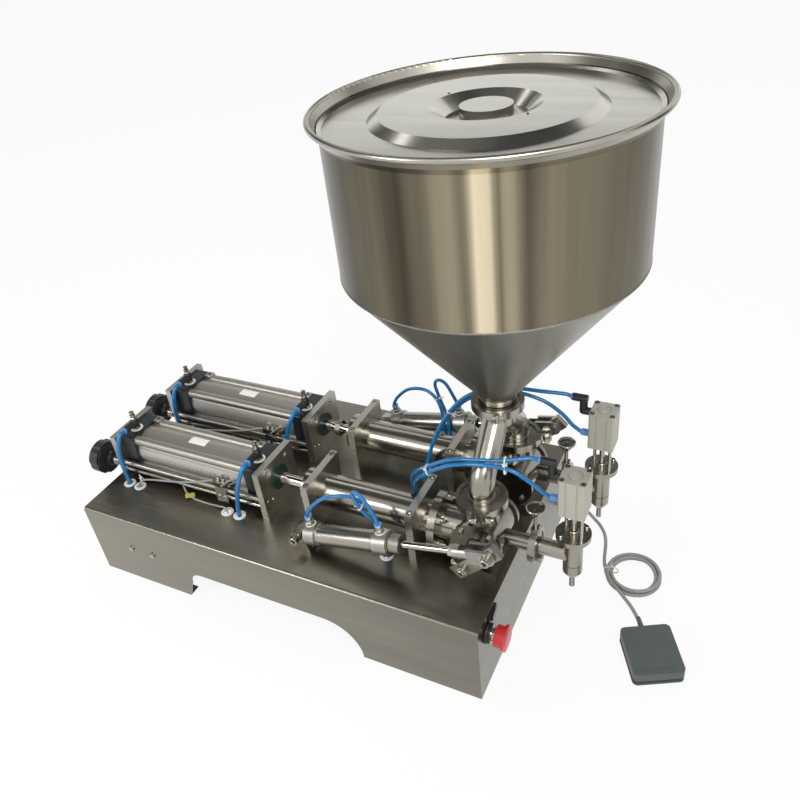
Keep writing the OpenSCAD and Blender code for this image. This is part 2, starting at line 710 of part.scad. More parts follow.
// Drive cylinders: end plates, heads, tube, rulers, rods
tie_at = 27.5;
tie_r = 8.5;
screw_head_d = 10;
screw_sink = 3;
head_corner = 5;
tube_y0 = drive_y + plate_t + head_l;
tube_y1 = plate_b_y - head_l;
tube_r = drive_bore / 2 + drive_wall;
gland_ring_out = 3;
module plate_holes(y0) {
    translate([0, 0, axis_z]) {
        for (i = [-1, 1], j = [-1, 1]) translate([i * tie_at, 0, j * tie_at])
            rod_y(screw_head_d, y0 - over, y0 + plate_t + over);
        translate([-screw_x, 0, -screw_drop]) rod_y(screw_d + 2 * run_gap, y0 - over, y0 + plate_t + over);
        translate([-screw_x, 0, -guide_drop]) rod_y(guide_d + 2 * fit_gap, y0 - over, y0 + plate_t + over);
    }
}
module drive_front_plates() {
    color(ALLOY) home() for (side = [LEFT, RIGHT]) on_head(side) difference() {
        translate([-plate_w / 2, drive_y, deck_z]) cube([plate_w, plate_t, plate_h]);
        plate_holes(drive_y);
        translate([0, 0, axis_z]) rod_y(nose_d + 2 * fit_gap, drive_y - over, drive_y + plate_t + over);
    }
}
module drive_rear_plates() {
    color(ALLOY) home() for (side = [LEFT, RIGHT]) on_head(side) difference() {
        translate([-plate_w / 2, plate_b_y, deck_z]) cube([plate_w, plate_t, plate_h]);
        plate_holes(plate_b_y);
    }
}
module drive_heads() {
    color(BLACK) home() for (side = [LEFT, RIGHT], y = [drive_y + plate_t, tube_y1]) on_head(side)
        translate([0, 0, axis_z]) difference() {
            along_y(y, y + head_l) round_square(head_sq, head_sq, head_corner);
            if (y < tube_y1) rod_y(rod_d + 2 * run_gap, y - over, y + head_l + over);
        }
}
module rod_gland_rings() {
    color(GREEN) home() for (side = [LEFT, RIGHT]) on_head(side) translate([0, 0, axis_z])
        ring_y(nose_d, rod_d + 2 * run_gap, drive_y - gland_ring_out, drive_y + plate_t);
}
module drive_barrels() {
    color(ALLOY) home() for (side = [LEFT, RIGHT]) on_head(side) translate([0, 0, axis_z])
        along_y(tube_y0, tube_y1) difference() {
            union() {
                circle(r = tube_r, $fn = 96);
                at_corners(tie_at, tie_at) circle(r = tie_r);
            }
            circle(d = drive_bore, $fn = 96);
        }
}
ruler_t = 0.6;
ruler_from = 158;
ruler_to = 196;
label_from = 76;
label_to = 104;
label_l = 36;
label_in = 161;
label_y = drive_y + label_in;
ruler_end_gap = 6;
module arc_band(r, t, a0, a1, y0, y1) {
    translate([0, y1, 0]) rotate([90, 0, 0]) rotate([0, 0, a0]) rotate_extrude(angle = a1 - a0)
        translate([r, 0]) square([t, y1 - y0]);
}
module scale_rulers() {
    color(WHITE) home() for (side = [LEFT, RIGHT]) on_head(side) translate([0, 0, axis_z]) {
        arc_band(tube_r + fit_gap, ruler_t, ruler_from, ruler_to,
            tube_y0 + ruler_end_gap, tube_y1 - ruler_end_gap);
        arc_band(tube_r + fit_gap, ruler_t, label_from, label_to,
            label_y - label_l / 2, label_y + label_l / 2);
    }
}
module guide_rods() {
    color(BRIGHT) home() for (side = [LEFT, RIGHT]) on_head(side)
        translate([-screw_x, 0, axis_z - guide_drop]) rod_y(guide_d, drive_y, plate_b_y + plate_t);
}
sensor_w = 7;
sensor_l = 26;
sensor_h = 6;
sensor_in = 87;
sensor_y = plate_b_y - sensor_in;
module barrel_sensors() {
    sensor_z = axis_z - tie_at - tie_r - sensor_h - fit_gap;
    color(BLACK) home() for (side = [LEFT, RIGHT]) on_head(side)
        translate([-tie_at - sensor_w / 2, sensor_y - sensor_l / 2, sensor_z])
            cube([sensor_w, sensor_l, sensor_h]);
}

// Dose adjuster and the sensor carriage that it drives
knob_lobes = 6;
knob_lobe_cut_d = 26;
knob_lobe_share = 1.36;
knob_edge = 3;
collar_w = 18;
collar_l = 8;
carriage_w = 13;
carriage_l = 22;
carriage_low = 9;
carriage_high = 9;
reed_w = 12;
reed_l = 26;
reed_h = 9;
reed_screw_d = 5;
reed_screw_h = 5;
module adjuster(side) {
    home() on_head(side) translate([-screw_x, 0, axis_z - screw_drop]) {
        color(BRIGHT) rod_y(screw_d, drive_y + over, knob_y1 - knob_t / 3);
        color(BRIGHT) ring_y(collar_w, screw_d + 2 * fit_gap, plate_b_y + plate_t + run_gap,
            plate_b_y + plate_t + run_gap + collar_l);
        color(BLACK) difference() {
            union() {
                rod_y(knob_d, knob_y0 + knob_edge, knob_y1 - knob_edge);
                rod_y(knob_d - 2 * knob_edge, knob_y0, knob_y1);
            }
            for (k = [0 : knob_lobes - 1]) rotate([0, 360 * k / knob_lobes, 0])
                translate([knob_d / 2 * knob_lobe_share, 0, 0])
                    rod_y(knob_lobe_cut_d, knob_y0 - over, knob_y1 + over);
            rod_y(screw_d + 2 * fit_gap, knob_y0 - over, knob_y1 - knob_t / 3 + fit_gap);
        }
    }
}
module left_adjuster() { adjuster(LEFT); }
module right_adjuster() { adjuster(RIGHT); }
module sensor_carriage(side) {
    top_z = axis_z - screw_drop + carriage_high;
    home() on_head(side) translate([-screw_x, carriage_y, 0]) {
        color(ALLOY) difference() {
            translate([-carriage_w / 2, -carriage_l / 2, axis_z - guide_drop - carriage_low])
                cube([carriage_w, carriage_l, top_z - axis_z + guide_drop + carriage_low]);
            translate([0, 0, axis_z - screw_drop]) rod_y(screw_d + 2 * run_gap, -carriage_l, carriage_l);
            translate([0, 0, axis_z - guide_drop]) rod_y(guide_d + 2 * run_gap, -carriage_l, carriage_l);
        }
        color(BLACK) translate([-reed_w / 2, -carriage_l / 2, top_z]) cube([reed_w, reed_l, reed_h]);
        color(BRIGHT) for (s = [-1, 1]) translate([0, s * carriage_l / 4, 0])
            rod_z(reed_screw_d, top_z + reed_h, top_z + reed_h + reed_screw_h);
    }
}
module left_sensor_carriage() { sensor_carriage(LEFT); }
module right_sensor_carriage() { sensor_carriage(RIGHT); }

// Piston rod with drive piston and lock nut, and the product piston
rod_nut_before = 74;
nut_y = drive_y - rod_nut_before;
right_rest = 35;
nut_l = 10;
nut_d = 30;
drive_piston_in = 134;
drive_piston_y = drive_y + drive_piston_in;
drive_piston_l = 40;
piston_before = 206;
piston_face_y = drive_y - piston_before;
piston_l = 32;
piston_groove = 1.5;
piston_rod_d = 16;
seal_w = 5;
seal_at = 6;
function rest_shift(side) = side == RIGHT ? right_rest : 0;
module piston_rod(side) {
    home() on_head(side) translate([0, rest_shift(side), axis_z]) {
        color(BRIGHT) rod_y(rod_d, nut_y + nut_l, drive_piston_y);
        color(BRIGHT) rod_y(piston_rod_d, piston_face_y + piston_l, nut_y);
        color(BRIGHT) translate([0, nut_y, 0]) rotate([-90, 0, 0]) cylinder(d = nut_d, h = nut_l, $fn = 6);
        color(BLACK) rod_y(drive_bore - 2 * run_gap, drive_piston_y, drive_piston_y + drive_piston_l);
    }
}
module left_piston_rod() { piston_rod(LEFT); }
module right_piston_rod() { piston_rod(RIGHT); }
module product_piston(side) {
    piston_d = barrel_bore - 2 * run_gap;
    home() on_head(side) translate([0, piston_face_y + rest_shift(side), axis_z]) {
        color(BRIGHT) difference() {
            rod_y(piston_d, 0, piston_l);
            for (y = [seal_at, piston_l - seal_at - seal_w])
                ring_y(piston_d + over, piston_d - 2 * piston_groove, y, y + seal_w);
        }
        color(WHITE) for (y = [seal_at, piston_l - seal_at - seal_w])
            ring_y(piston_d, piston_d - 2 * piston_groove, y, y + seal_w);
    }
}
module left_product_piston() { product_piston(LEFT); }
module right_product_piston() { product_piston(RIGHT); }

// Clamp brackets, their bolts, the product barrels and the flange bolts
clamp_w = 100;
clamp_t = 12;
clamp_split = 1;
clamp_bolt_x = 42;
bolt_d = 6;
bolt_head_d = 10;
bolt_head_h = 6;
bolt_in = 20;
barrel_collar_d = 62;
barrel_collar_l = 14;
module clamp_half(y, z0, z1) {
    difference() {
        translate([-clamp_w / 2, y - clamp_t / 2, z0]) cube([clamp_w, clamp_t, z1 - z0]);
        translate([0, 0, axis_z]) rod_y(barrel_d + 2 * fit_gap, y - clamp_t, y + clamp_t);
        for (s = [-1, 1]) translate([s * clamp_bolt_x, y, 0]) {
            rod_z(bolt_d + 2 * fit_gap, axis_z - bolt_in - fit_gap, deck_z + clamp_h + over);
            rod_z(bolt_head_d + 2 * fit_gap, deck_z + clamp_h - bolt_head_h, deck_z + clamp_h + over);
        }
    }
}
module lower_clamps() {
    color(ALLOY) home() for (side = [LEFT, RIGHT], y = [front_clamp_y, rear_clamp_y]) on_head(side)
        clamp_half(y, deck_z, axis_z - clamp_split / 2);
}
module upper_clamps() {
    color(ALLOY) home() for (side = [LEFT, RIGHT], y = [front_clamp_y, rear_clamp_y]) on_head(side)
        clamp_half(y, axis_z + clamp_split / 2, deck_z + clamp_h);
}
module socket_head(d, depth) {
    difference() {
        children();
        cylinder(d = d, h = depth, $fn = 6);
    }
}
socket_share = 0.55;
module clamp_bolt(y) {
    top_z = deck_z + clamp_h;
    difference() {
        union() {
            rod_z(bolt_d, axis_z - bolt_in, top_z - over);
            rod_z(bolt_head_d, top_z - bolt_head_h + fit_gap, top_z);
        }
        translate([0, 0, top_z - bolt_head_h / 2])
            cylinder(d = bolt_head_d * socket_share, h = bolt_head_h, $fn = 6);
    }
}
module plate_screw(y0, y1) {
    difference() {
        rod_y(screw_head_d - 2 * fit_gap, y0, y1);
        translate([0, y0 == drive_y + screw_sink ? y0 - over : y1 - screw_sink, 0]) rotate([-90, 0, 0])
            cylinder(d = screw_head_d * socket_share, h = screw_sink + over, $fn = 6);
    }
}
module socket_screws() {
    color(BRIGHT) home() {
        for (side = [LEFT, RIGHT]) on_head(side) {
            for (s = [-1, 1], y = [front_clamp_y, rear_clamp_y])
                translate([s * clamp_bolt_x, y, 0]) clamp_bolt();
            for (i = [-1, 1], j = [-1, 1]) translate([i * tie_at, 0, axis_z + j * tie_at]) {
                plate_screw(drive_y + screw_sink, drive_y + plate_t);
                plate_screw(plate_b_y, plate_b_y + plate_t - screw_sink);
            }
        }
        for (side = [LEFT, RIGHT], y = side_screw_y)
            outboard(side) translate([-base_w / 2, y, side_screw_z]) {
            rod_x(side_screw_d - 2 * fit_gap, -over, sheet_t + manifold_t / 2 - over);
            rod_x(screw_head_d, -screw_sink, 0);
        }
    }
}
module product_barrels() {
    color(BRIGHT) home() for (side = [LEFT, RIGHT]) on_head(side) translate([0, 0, axis_z]) difference() {
        union() {
            rod_y(barrel_d, flange_y, barrel_rear_y);
            rod_y(flange_d, flange_y, flange_y + flange_t);
            rod_y(barrel_collar_d, barrel_rear_y - barrel_collar_l, barrel_rear_y);
        }
        rod_y(barrel_bore, flange_y - over, barrel_rear_y + over);
        flange_holes();
    }
}
flange_bolt_r = 37;
flange_bolt_d = 8;
flange_nut_d = 15;
flange_nut_l = 7;
flange_washer_l = 1;
stud_out = 4;
module flange_holes() {
    for (a = [45 : 90 : 315]) translate([flange_bolt_r * cos(a), 0, flange_bolt_r * sin(a)])
        rod_y(flange_bolt_d + 2 * fit_gap, flange_y - flange_t - over, flange_y + flange_t + over);
}
module flange_bolts() {
    color(BRIGHT) home() for (side = [LEFT, RIGHT]) on_head(side) translate([0, 0, axis_z])
        for (a = [45 : 90 : 315]) translate([flange_bolt_r * cos(a), 0, flange_bolt_r * sin(a)]) {
            rod_y(flange_bolt_d, flange_y - flange_t - flange_nut_l - stud_out, flange_y + flange_t + over);
            for (y = [flange_y - flange_t - flange_nut_l, flange_y + flange_t])
                translate([0, y, 0]) rotate([-90, 0, 0])
                    cylinder(d = flange_nut_d, h = flange_nut_l, $fn = 6);
        }
}

// Rotary valves: body, covers, stand, rotor and crank
cover_t = 6;
rear_neck_d = 56;
top_neck_d = 51;
port_d = 30;
outlet_bore = 20;
outlet_joint_y = -38;
outlet_ferrule_d = 44;
rotor_gap = 4;
cover_screw_r = 31;
cover_screw_d = 9;
cover_screw_h = 4;
valve_x0 = -head_x - valve_out + cover_t;
valve_x1 = -head_x + valve_in - cover_t;
module valve_bodies() {
    color(BRIGHT) home() for (side = [LEFT, RIGHT]) outboard(side) difference() {
        union() {
            translate([0, valve_y, axis_z]) rod_x(valve_d, valve_x0, valve_x1);
            translate([-head_x, 0, axis_z]) {
                rod_y(rear_neck_d, valve_y, flange_y);
                rod_y(flange_d, flange_y - flange_t, flange_y);
                rod_y(outlet_d, outlet_joint_y + ferrule_gap, valve_y);
                rod_y(outlet_ferrule_d, outlet_joint_y + ferrule_gap,
                    outlet_joint_y + ferrule_gap + ferrule_t);
            }
            translate([-head_x, valve_y, 0]) {
                rod_z(top_neck_d, axis_z, cup_z);
                rod_z(ferrule_d, cup_z - ferrule_t, cup_z);
            }
        }
        translate([0, valve_y, axis_z]) rod_x(valve_bore, valve_x0 - over, valve_x1 + over);
        translate([-head_x, 0, axis_z]) {
            rod_y(barrel_bore, valve_y, flange_y + over);
            rod_y(outlet_bore, outlet_joint_y - over, valve_y);
            flange_holes();
        }
        translate([-head_x, valve_y, 0]) rod_z(feed_d - 2 * feed_t, axis_z, cup_z + over);
    }
}
module cover_screws(x0, x1) {
    for (k = [0 : 3]) rotate([90 * k + 45, 0, 0]) translate([0, cover_screw_r, 0]) difference() {
        rod_x(cover_screw_d, x0, x1);
        translate([x0 < -head_x ? x0 - over : x1 - cover_screw_h / 2, 0, 0]) rotate([0, 90, 0])
            cylinder(d = cover_screw_d * socket_share, h = cover_screw_h / 2 + over, $fn = 6);
    }
}
module valve_covers() {
    color(STEEL) home() for (side = [LEFT, RIGHT]) outboard(side) translate([0, valve_y, axis_z]) {
        difference() {
            rod_x(cover_d, valve_x0 - cover_t, valve_x0);
            rod_x(shaft_d + 2 * run_gap, valve_x0 - cover_t - over, valve_x0 + over);
        }
        rod_x(cover_d, valve_x1, valve_x1 + cover_t);
        cover_screws(valve_x0 - cover_t - cover_screw_h, valve_x0 - cover_t);
        cover_screws(valve_x1 + cover_t, valve_x1 + cover_t + cover_screw_h);
    }
}
stand_l = 64;
stand_t = 12;
saddle_l = 36;
saddle_top = 26;
module valve_stands() {
    x0 = valve_x0 + over;
    x1 = valve_x1 - over;
    color(STEEL) home() for (side = [LEFT, RIGHT]) outboard(side) difference() {
        union() {
            translate([valve_x0 - 2 * cover_t, valve_y - stand_l / 2, deck_z])
                cube([valve_x1 - valve_x0 + 2 * cover_t, stand_l, stand_t]);
            translate([x0, valve_y - saddle_l / 2, deck_z]) cube([x1 - x0, saddle_l, saddle_top]);
        }
        translate([0, valve_y, axis_z]) rod_x(valve_d + 2 * fit_gap, x0 - over, x1 + over);
        translate([0, valve_y, axis_z]) rod_x(cover_d + 2 * fit_gap, valve_x0 - 3 * cover_t, valve_x0 + over);
    }
}
module valve_rotor(side) {
    rotor_x0 = valve_x0 + rotor_gap;
    rotor_x1 = valve_x1 - rotor_gap;
    color(BRIGHT) home() outboard(side) translate([0, valve_y, axis_z]) {
        difference() {
            rod_x(valve_bore - 2 * run_gap, rotor_x0, rotor_x1);
            translate([-head_x, 0, 0]) {
                rod_y(port_d, 0, valve_bore);
                rod_z(port_d, -valve_bore, valve_bore);
            }
        }
        rod_x(shaft_d, -act_x, rotor_x0);
    }
}
module left_valve_rotor() { valve_rotor(LEFT); }
module right_valve_rotor() { valve_rotor(RIGHT); }
crank_w = 24;
crank_t = 10;
crank_end = 18;
crank_angle = 45;
crank_hub_d = 28;
crank_hub_l = 10;
crank_bolt_d = 18;
crank_bolt_h = 6;
pin_y = valve_y - crank_arm * cos(crank_angle);
pin_z = axis_z + crank_arm * sin(crank_angle);
module crank(side) {
    color(BRIGHT) home() outboard(side) translate([-act_x, valve_y, axis_z]) difference() {
        union() {
            rotate([-crank_angle, 0, 0]) translate([-crank_t / 2, -crank_arm - crank_end, -crank_w / 2])
                cube([crank_t, crank_arm + 2 * crank_end, crank_w]);
            rod_x(crank_hub_d, crank_t / 2 - over, crank_t / 2 + crank_hub_l);
            rod_x(crank_bolt_d, -crank_t / 2 - crank_bolt_h, -crank_t / 2 + over);
        }
        rod_x(shaft_d + 2 * fit_gap, -fit_gap, crank_t / 2 + crank_hub_l + over);
    }
}
module left_crank() { crank(LEFT); }
module right_crank() { crank(RIGHT); }

// Valve actuators: bracket, barrel and rod, along the line from rear pivot to crank pin
act_pivot_z = deck_z + act_pivot_h;
act_tilt = atan2(pin_z - act_pivot_z, act_pivot_y - pin_y);
act_len = norm([act_pivot_y - pin_y, pin_z - act_pivot_z]);
bracket_l = 40;
bracket_t = 6;
ear_gap = 15;
ear_t = 6;
ear_r = 11;
act_pin_d = 10;
act_pin_head_d = 15;
act_pin_head_h = 5;
tang_w = 14;
tang_r = 12;
cap0_s = 18;
cap0_l = 20;
tube_l = 108;
cap1_l = 24;
nose_l = 18;
act_nose_d = 28;
act_bore = 28;
act_piston_l = 14;
fitting_d = 10;
fitting_h = 14;
fitting_in = 10;
fork_w = 21;
fork_slot = 11;
fork_s = 60;
fork_slot_s = 43;
fork_tip_r = 12;
fork_pin_d = 10;
fork_head_d = 16;
fork_head_h = 5;
rod_nut_d = 20;
rod_nut_l = 7;
nose_end_s = cap0_s + cap0_l + tube_l + cap1_l + nose_l;
module on_actuator(side) {
    home() outboard(side) translate([-act_x, act_pivot_y, act_pivot_z]) rotate([-act_tilt, 0, 0]) children();
}
module actuator_brackets() {
    color(STEEL) home() for (side = [LEFT, RIGHT]) outboard(side) translate([-act_x, act_pivot_y, 0]) {
        translate([-ear_gap / 2 - ear_t, -bracket_l / 2, deck_z])
            cube([ear_gap + 2 * ear_t, bracket_l, bracket_t]);
        for (x = [-ear_gap / 2 - ear_t, ear_gap / 2]) along_x(x, x + ear_t) difference() {
            union() {
                translate([0, act_pivot_z]) circle(r = ear_r);
                polygon([[-bracket_l / 2, deck_z + bracket_t - over],
                    [bracket_l / 2, deck_z + bracket_t - over],
                    [ear_r, act_pivot_z], [-ear_r, act_pivot_z]]);
            }
        }
        translate([0, 0, act_pivot_z]) {
            rod_x(act_pin_d, -ear_gap / 2 - ear_t - over, ear_gap / 2 + ear_t + over);
            rod_x(act_pin_head_d, -ear_gap / 2 - ear_t - act_pin_head_h, -ear_gap / 2 - ear_t);
            rod_x(act_pin_head_d, ear_gap / 2 + ear_t, ear_gap / 2 + ear_t + act_pin_head_h);
        }
    }
}
module actuator_barrel(side) {
    cap1_s = cap0_s + cap0_l + tube_l;
    color(STEEL) on_actuator(side) difference() {
        union() {
            along_x(-tang_w / 2, tang_w / 2) {
                circle(r = tang_r);
                translate([-cap0_s - over, -tang_r]) square([cap0_s + over, 2 * tang_r]);
            }
            rod_y(act_cap_d, -cap0_s - cap0_l, -cap0_s);
            rod_y(act_barrel_d, -cap1_s, -cap0_s - cap0_l);
            rod_y(act_cap_d, -cap1_s - cap1_l, -cap1_s);
            rod_y(act_nose_d, -nose_end_s, -cap1_s - cap1_l);
        }
        rod_x(act_pin_d + 2 * run_gap, -tang_w, tang_w);
        rod_y(act_bore, -cap1_s, -cap0_s - cap0_l / 2);
        rod_y(act_rod_d + 2 * run_gap, -nose_end_s - over, -cap1_s + over);
    }
    color(ALLOY) on_actuator(side) for (s = [cap0_s + fitting_in, cap1_s + cap1_l / 2]) translate([0, -s, 0])
        rod_z(fitting_d, act_cap_d / 2 - over, act_cap_d / 2 + fitting_h);
}
module left_actuator_barrel() { actuator_barrel(LEFT); }
module right_actuator_barrel() { actuator_barrel(RIGHT); }
module actuator_rod(side) {
    fork_back = act_len - fork_s;
    piston_s = nose_end_s - nose_l - cap1_l - act_piston_l - 2 * over;
    color(BRIGHT) on_actuator(side) {
        rod_y(act_rod_d, -fork_back - over, -piston_s);
        rod_y(act_bore - 2 * run_gap, -piston_s - act_piston_l, -piston_s);
        translate([0, -fork_back - rod_nut_l, 0]) rotate([-90, 0, 0])
            cylinder(d = rod_nut_d, h = rod_nut_l, $fn = 6);
        difference() {
            union() {
                along_x(-fork_w / 2, fork_w / 2) {
                    translate([-act_len, 0]) circle(r = fork_tip_r);
                    translate([-act_len, -fork_tip_r]) square([fork_s / 2, 2 * fork_tip_r]);
                }
                rod_y(fork_w, -act_len + fork_s / 2 - over, -fork_back - rod_nut_l);
            }
            along_x(-fork_slot / 2, fork_slot / 2)
                translate([-act_len - 2 * fork_tip_r, -2 * fork_tip_r]) square([2 * fork_tip_r + fork_slot_s,
                    4 * fork_tip_r]);
        }
        translate([0, -act_len, 0]) {
            rod_x(fork_head_d, -fork_w / 2 - fork_head_h, -fork_w / 2);
            rod_x(fork_head_d, fork_w / 2, fork_w / 2 + fork_head_h);
        }
    }
}
module left_actuator_rod() { actuator_rod(LEFT); }
module right_actuator_rod() { actuator_rod(RIGHT); }

// Outlet clamps with hand nuts, nozzles and their shut-off cylinders
outlet_ring_wall = 5;
outlet_ring_l = 10;
stud_z0 = 22;
stud_l = 36;
hand_nut_d = 26;
hand_nut_neck_d = 10;
hand_nut_l = 12;
post_w = 13;
module outlet_clamps() {
    color(BRIGHT) home() for (side = [LEFT, RIGHT]) on_head(side) translate([0, outlet_joint_y, axis_z]) {
        difference() {
            union() {
                rod_y(outlet_ferrule_d + 2 * outlet_ring_wall, -outlet_ring_l / 2, outlet_ring_l / 2);
                translate([-post_w / 2, -outlet_ring_l / 2, stud_z0]) cube([post_w, outlet_ring_l, post_w]);
            }
            rod_y(outlet_ferrule_d + 2 * fit_gap, -outlet_ring_l, outlet_ring_l);
        }
        rod_z(ear_bolt_d, stud_z0 + post_w - over, stud_z0 + stud_l);
        translate([0, 0, stud_z0 + stud_l]) cylinder(d1 = hand_nut_neck_d, d2 = hand_nut_d, h = hand_nut_l);
    }
}
tip_l = 23;
tip_shoulder_d = 16;
tip_cone_l = 10;
nozzle_cap_l = 17;
nozzle_l = 50;
disc_t = 8;
nozzle_gland_d = 16;
nozzle_gland_l = 4;
chamber_d = 18;
chamber_in = 2;
tip_bore = 5;
needle_d = 8;
post_d = 5;
post_at = 14.5;
shut_gap = 43;
cap_z = tip_z + tip_l + tip_cone_l;
nozzle_z0 = cap_z + nozzle_cap_l;
disc_z = nozzle_z0 + nozzle_l;
shut_z = disc_z + disc_t + shut_gap;
module nozzle_bodies() {
    color(BRIGHT) home() for (side = [LEFT, RIGHT]) on_head(side) difference() {
        union() {
            translate([0, -nozzle_out, 0]) {
                rod_z(tip_d, tip_z, tip_z + tip_l);
                translate([0, 0, tip_z + tip_l]) cylinder(d1 = tip_shoulder_d, d2 = nozzle_d, h = tip_cone_l);
                rod_z(nozzle_d, cap_z, disc_z);
                rod_z(disc_d, disc_z, disc_z + disc_t);
                rod_z(nozzle_gland_d, disc_z + disc_t, disc_z + disc_t + nozzle_gland_l);
            }
            translate([0, 0, axis_z]) {
                rod_y(outlet_d, -nozzle_out, outlet_joint_y);
                rod_y(outlet_ferrule_d, outlet_joint_y - ferrule_t, outlet_joint_y);
            }
        }
        translate([0, -nozzle_out, 0]) {
            rod_z(tip_bore, tip_z - over, nozzle_z0 + chamber_in + over);
            rod_z(chamber_d, nozzle_z0 + chamber_in, disc_z + chamber_in);
            rod_z(needle_d + 2 * run_gap, disc_z, disc_z + disc_t + nozzle_gland_l + over);
        }
        translate([0, 0, axis_z]) rod_y(outlet_bore, -nozzle_out, outlet_joint_y + over);
    }
}
shut_corner = 3;
shut_groove_w = 6;
shut_groove_d = 2.5;
shut_bore_l = 30;
shut_ring_d = 22;
shut_ring_depth = 1;
shut_screw_at = 14.5;
shut_screw_d = 7;
port_fit_d = 11;
port_fit_l = 12;
port_z0 = 14;
port_z1 = 8;
elbow_d = 12;
elbow_h = 22;
elbow_l = 16;
module nozzle_cylinders() {
    home() for (side = [LEFT, RIGHT]) on_head(side) translate([0, -nozzle_out, 0]) {
        color(ALLOY) difference() {
            translate([0, 0, shut_z]) linear_extrude(shut_h) difference() {
                round_square(shut_sq, shut_sq, shut_corner);
                for (k = [0 : 3], s = [-1, 1]) rotate(90 * k) translate([shut_sq / 2, s * shut_sq / 5])
                    circle(d = shut_groove_d, $fn = 16);
            }
            rod_z(needle_d + 2 * run_gap, shut_z - over, shut_z + shut_bore_l);
            translate([0, 0, shut_z + shut_h - shut_ring_depth]) difference() {
                cylinder(d = shut_ring_d, h = shut_ring_depth + over);
                cylinder(d = shut_ring_d - 2 * shut_groove_d, h = shut_ring_depth + over);
            }
        }
        color(BRIGHT) for (s = [-1, 1]) translate([s * post_at, s * post_at, 0])
            rod_z(post_d, disc_z + disc_t, shut_z);
        color(BRIGHT) at_corners(shut_screw_at, shut_screw_at)
            rod_z(shut_screw_d, shut_z + shut_h, shut_z + shut_h + shut_ring_depth);
        color(BLACK) translate([0, shut_sq / 2, shut_z + shut_h - port_z1]) {
            rod_y(elbow_d, 0, port_fit_l);
            translate([0, port_fit_l, 0]) sphere(d = elbow_d);
            translate([0, port_fit_l, 0]) rod_z(elbow_d, 0, elbow_h);
            translate([0, port_fit_l, elbow_h]) rod_y(elbow_d, -elbow_d / 2, elbow_l);
        }
        color(BLUE) translate([0, shut_sq / 2, shut_z + port_z0]) rod_y(port_fit_d, 0, port_fit_l);
    }
}
module nozzle_needle(side) {
    color(BRIGHT) home() on_head(side) translate([0, -nozzle_out, 0])
        rod_z(needle_d, nozzle_z0 + chamber_in + run_gap, shut_z + shut_bore_l / 2);
}
module left_nozzle_needle() { nozzle_needle(LEFT); }
module right_nozzle_needle() { nozzle_needle(RIGHT); }

// Speed controllers on the drive cylinders
ctrl_x = -8;
ctrl_d = 14;
ctrl_h = 24;
ctrl_needle_d = 8;
ctrl_needle_h = 13;
ctrl_arm_z = 13;
ctrl_arm_d = 12;
ctrl_arm_l = 26;
ctrl_ring_d = 11;
ctrl_ring_l = 4;
ctrl_front_y = 441;
ctrl_rear_y = 712;
module air_fittings() {
    home() for (side = [LEFT, RIGHT], y = [ctrl_front_y, ctrl_rear_y]) on_head(side)
        translate([ctrl_x, y, axis_z + head_sq / 2]) {
            color(BLACK) rod_z(ctrl_d, 0, ctrl_h);
            color(BLACK) translate([0, 0, ctrl_arm_z]) rod_x(ctrl_arm_d, -ctrl_arm_l, 0);
            color(BLUE) translate([0, 0, ctrl_arm_z])
                rod_x(ctrl_ring_d, -ctrl_arm_l - ctrl_ring_l, -ctrl_arm_l);
            color(BRIGHT) rod_z(ctrl_needle_d, ctrl_h, ctrl_h + ctrl_needle_h);
        }
}

// Air tubes and leads: routes chosen by hand, from the head axis or the centre plane
drive_tube_d = 8;
air_tube_d = 6;
lead_d = 3.5;
tube_sides = 8;
tube_gap = 0.2;
BACK = [0, 1, 0];
UP = [0, 0, 1];
drawn_deck_z = 150;
drawn_drive_y = 414;
function hose(a, out, d, route, b, dy = 0) = concat([a + out * fit_gap], smooth(concat([a + out * d],
    [for (p = route) p + [0, dy, deck_z - drawn_deck_z]], [b + UP * d]), 2), [b]);
drive_dy = drive_y - drawn_drive_y;
ctrl_out_x = ctrl_x - ctrl_arm_l - ctrl_ring_l;
ctrl_out_z = axis_z + head_sq / 2 + ctrl_arm_z;
drive_rear_route = [[-48, 712, 254], [-56, 713, 241], [-61, 714, 222], [-62.5, 715.5, 200], [-61.5, 717, 175],
    [-60, 718, 158]];
drive_front_route = [[-48, 442, 254], [-56, 446, 241], [-61, 452, 222], [-62.5, 458, 200], [-61.5, 464, 175],
    [-60, 468, 158]];
module drive_air_tubes() {
    color(BLUE) home() for (side = [LEFT, RIGHT]) on_head(side) {
        sweep(hose([ctrl_out_x, ctrl_rear_y, ctrl_out_z], [-1, 0, 0], drive_tube_d / 2, drive_rear_route,
            [-tube_grommet_x, rear_tube_y, deck_z], drive_dy), drive_tube_d, tube_sides);
        sweep(hose([ctrl_out_x, ctrl_front_y, ctrl_out_z], [-1, 0, 0], drive_tube_d / 2, drive_front_route,
            [-tube_grommet_x, front_tube_y, deck_z], drive_dy), drive_tube_d, tube_sides);
    }
}
elbow_out = [-nozzle_out + shut_sq / 2 + port_fit_l + elbow_l, shut_z + shut_h - port_z1 + elbow_h];
lower_out = [-nozzle_out + shut_sq / 2 + port_fit_l, shut_z + port_z0];
left_top_route = [[-77, -30, 366], [-79, 10, 352], [-80, 48, 344], [-79, 88, 332], [-77, 128, 306],
    [-70, 154, 282], [-55, 168, 250], [-42, 172, 210]];
left_low_route = [[-79, -48, 312], [-83, -30, 330], [-86, -4, 345], [-87, 40, 343], [-86, 86, 328],
    [-84, 122, 303], [-77, 147, 277], [-60, 161, 246], [-44, 165, 206]];
right_top_route = [[74, -34, 371], [66, 0, 374], [62, 40, 374], [61, 80, 366], [58, 118, 344], [50, 142, 318],
    [38, 162, 282], [27, 175, 240], [19, 181, 195]];
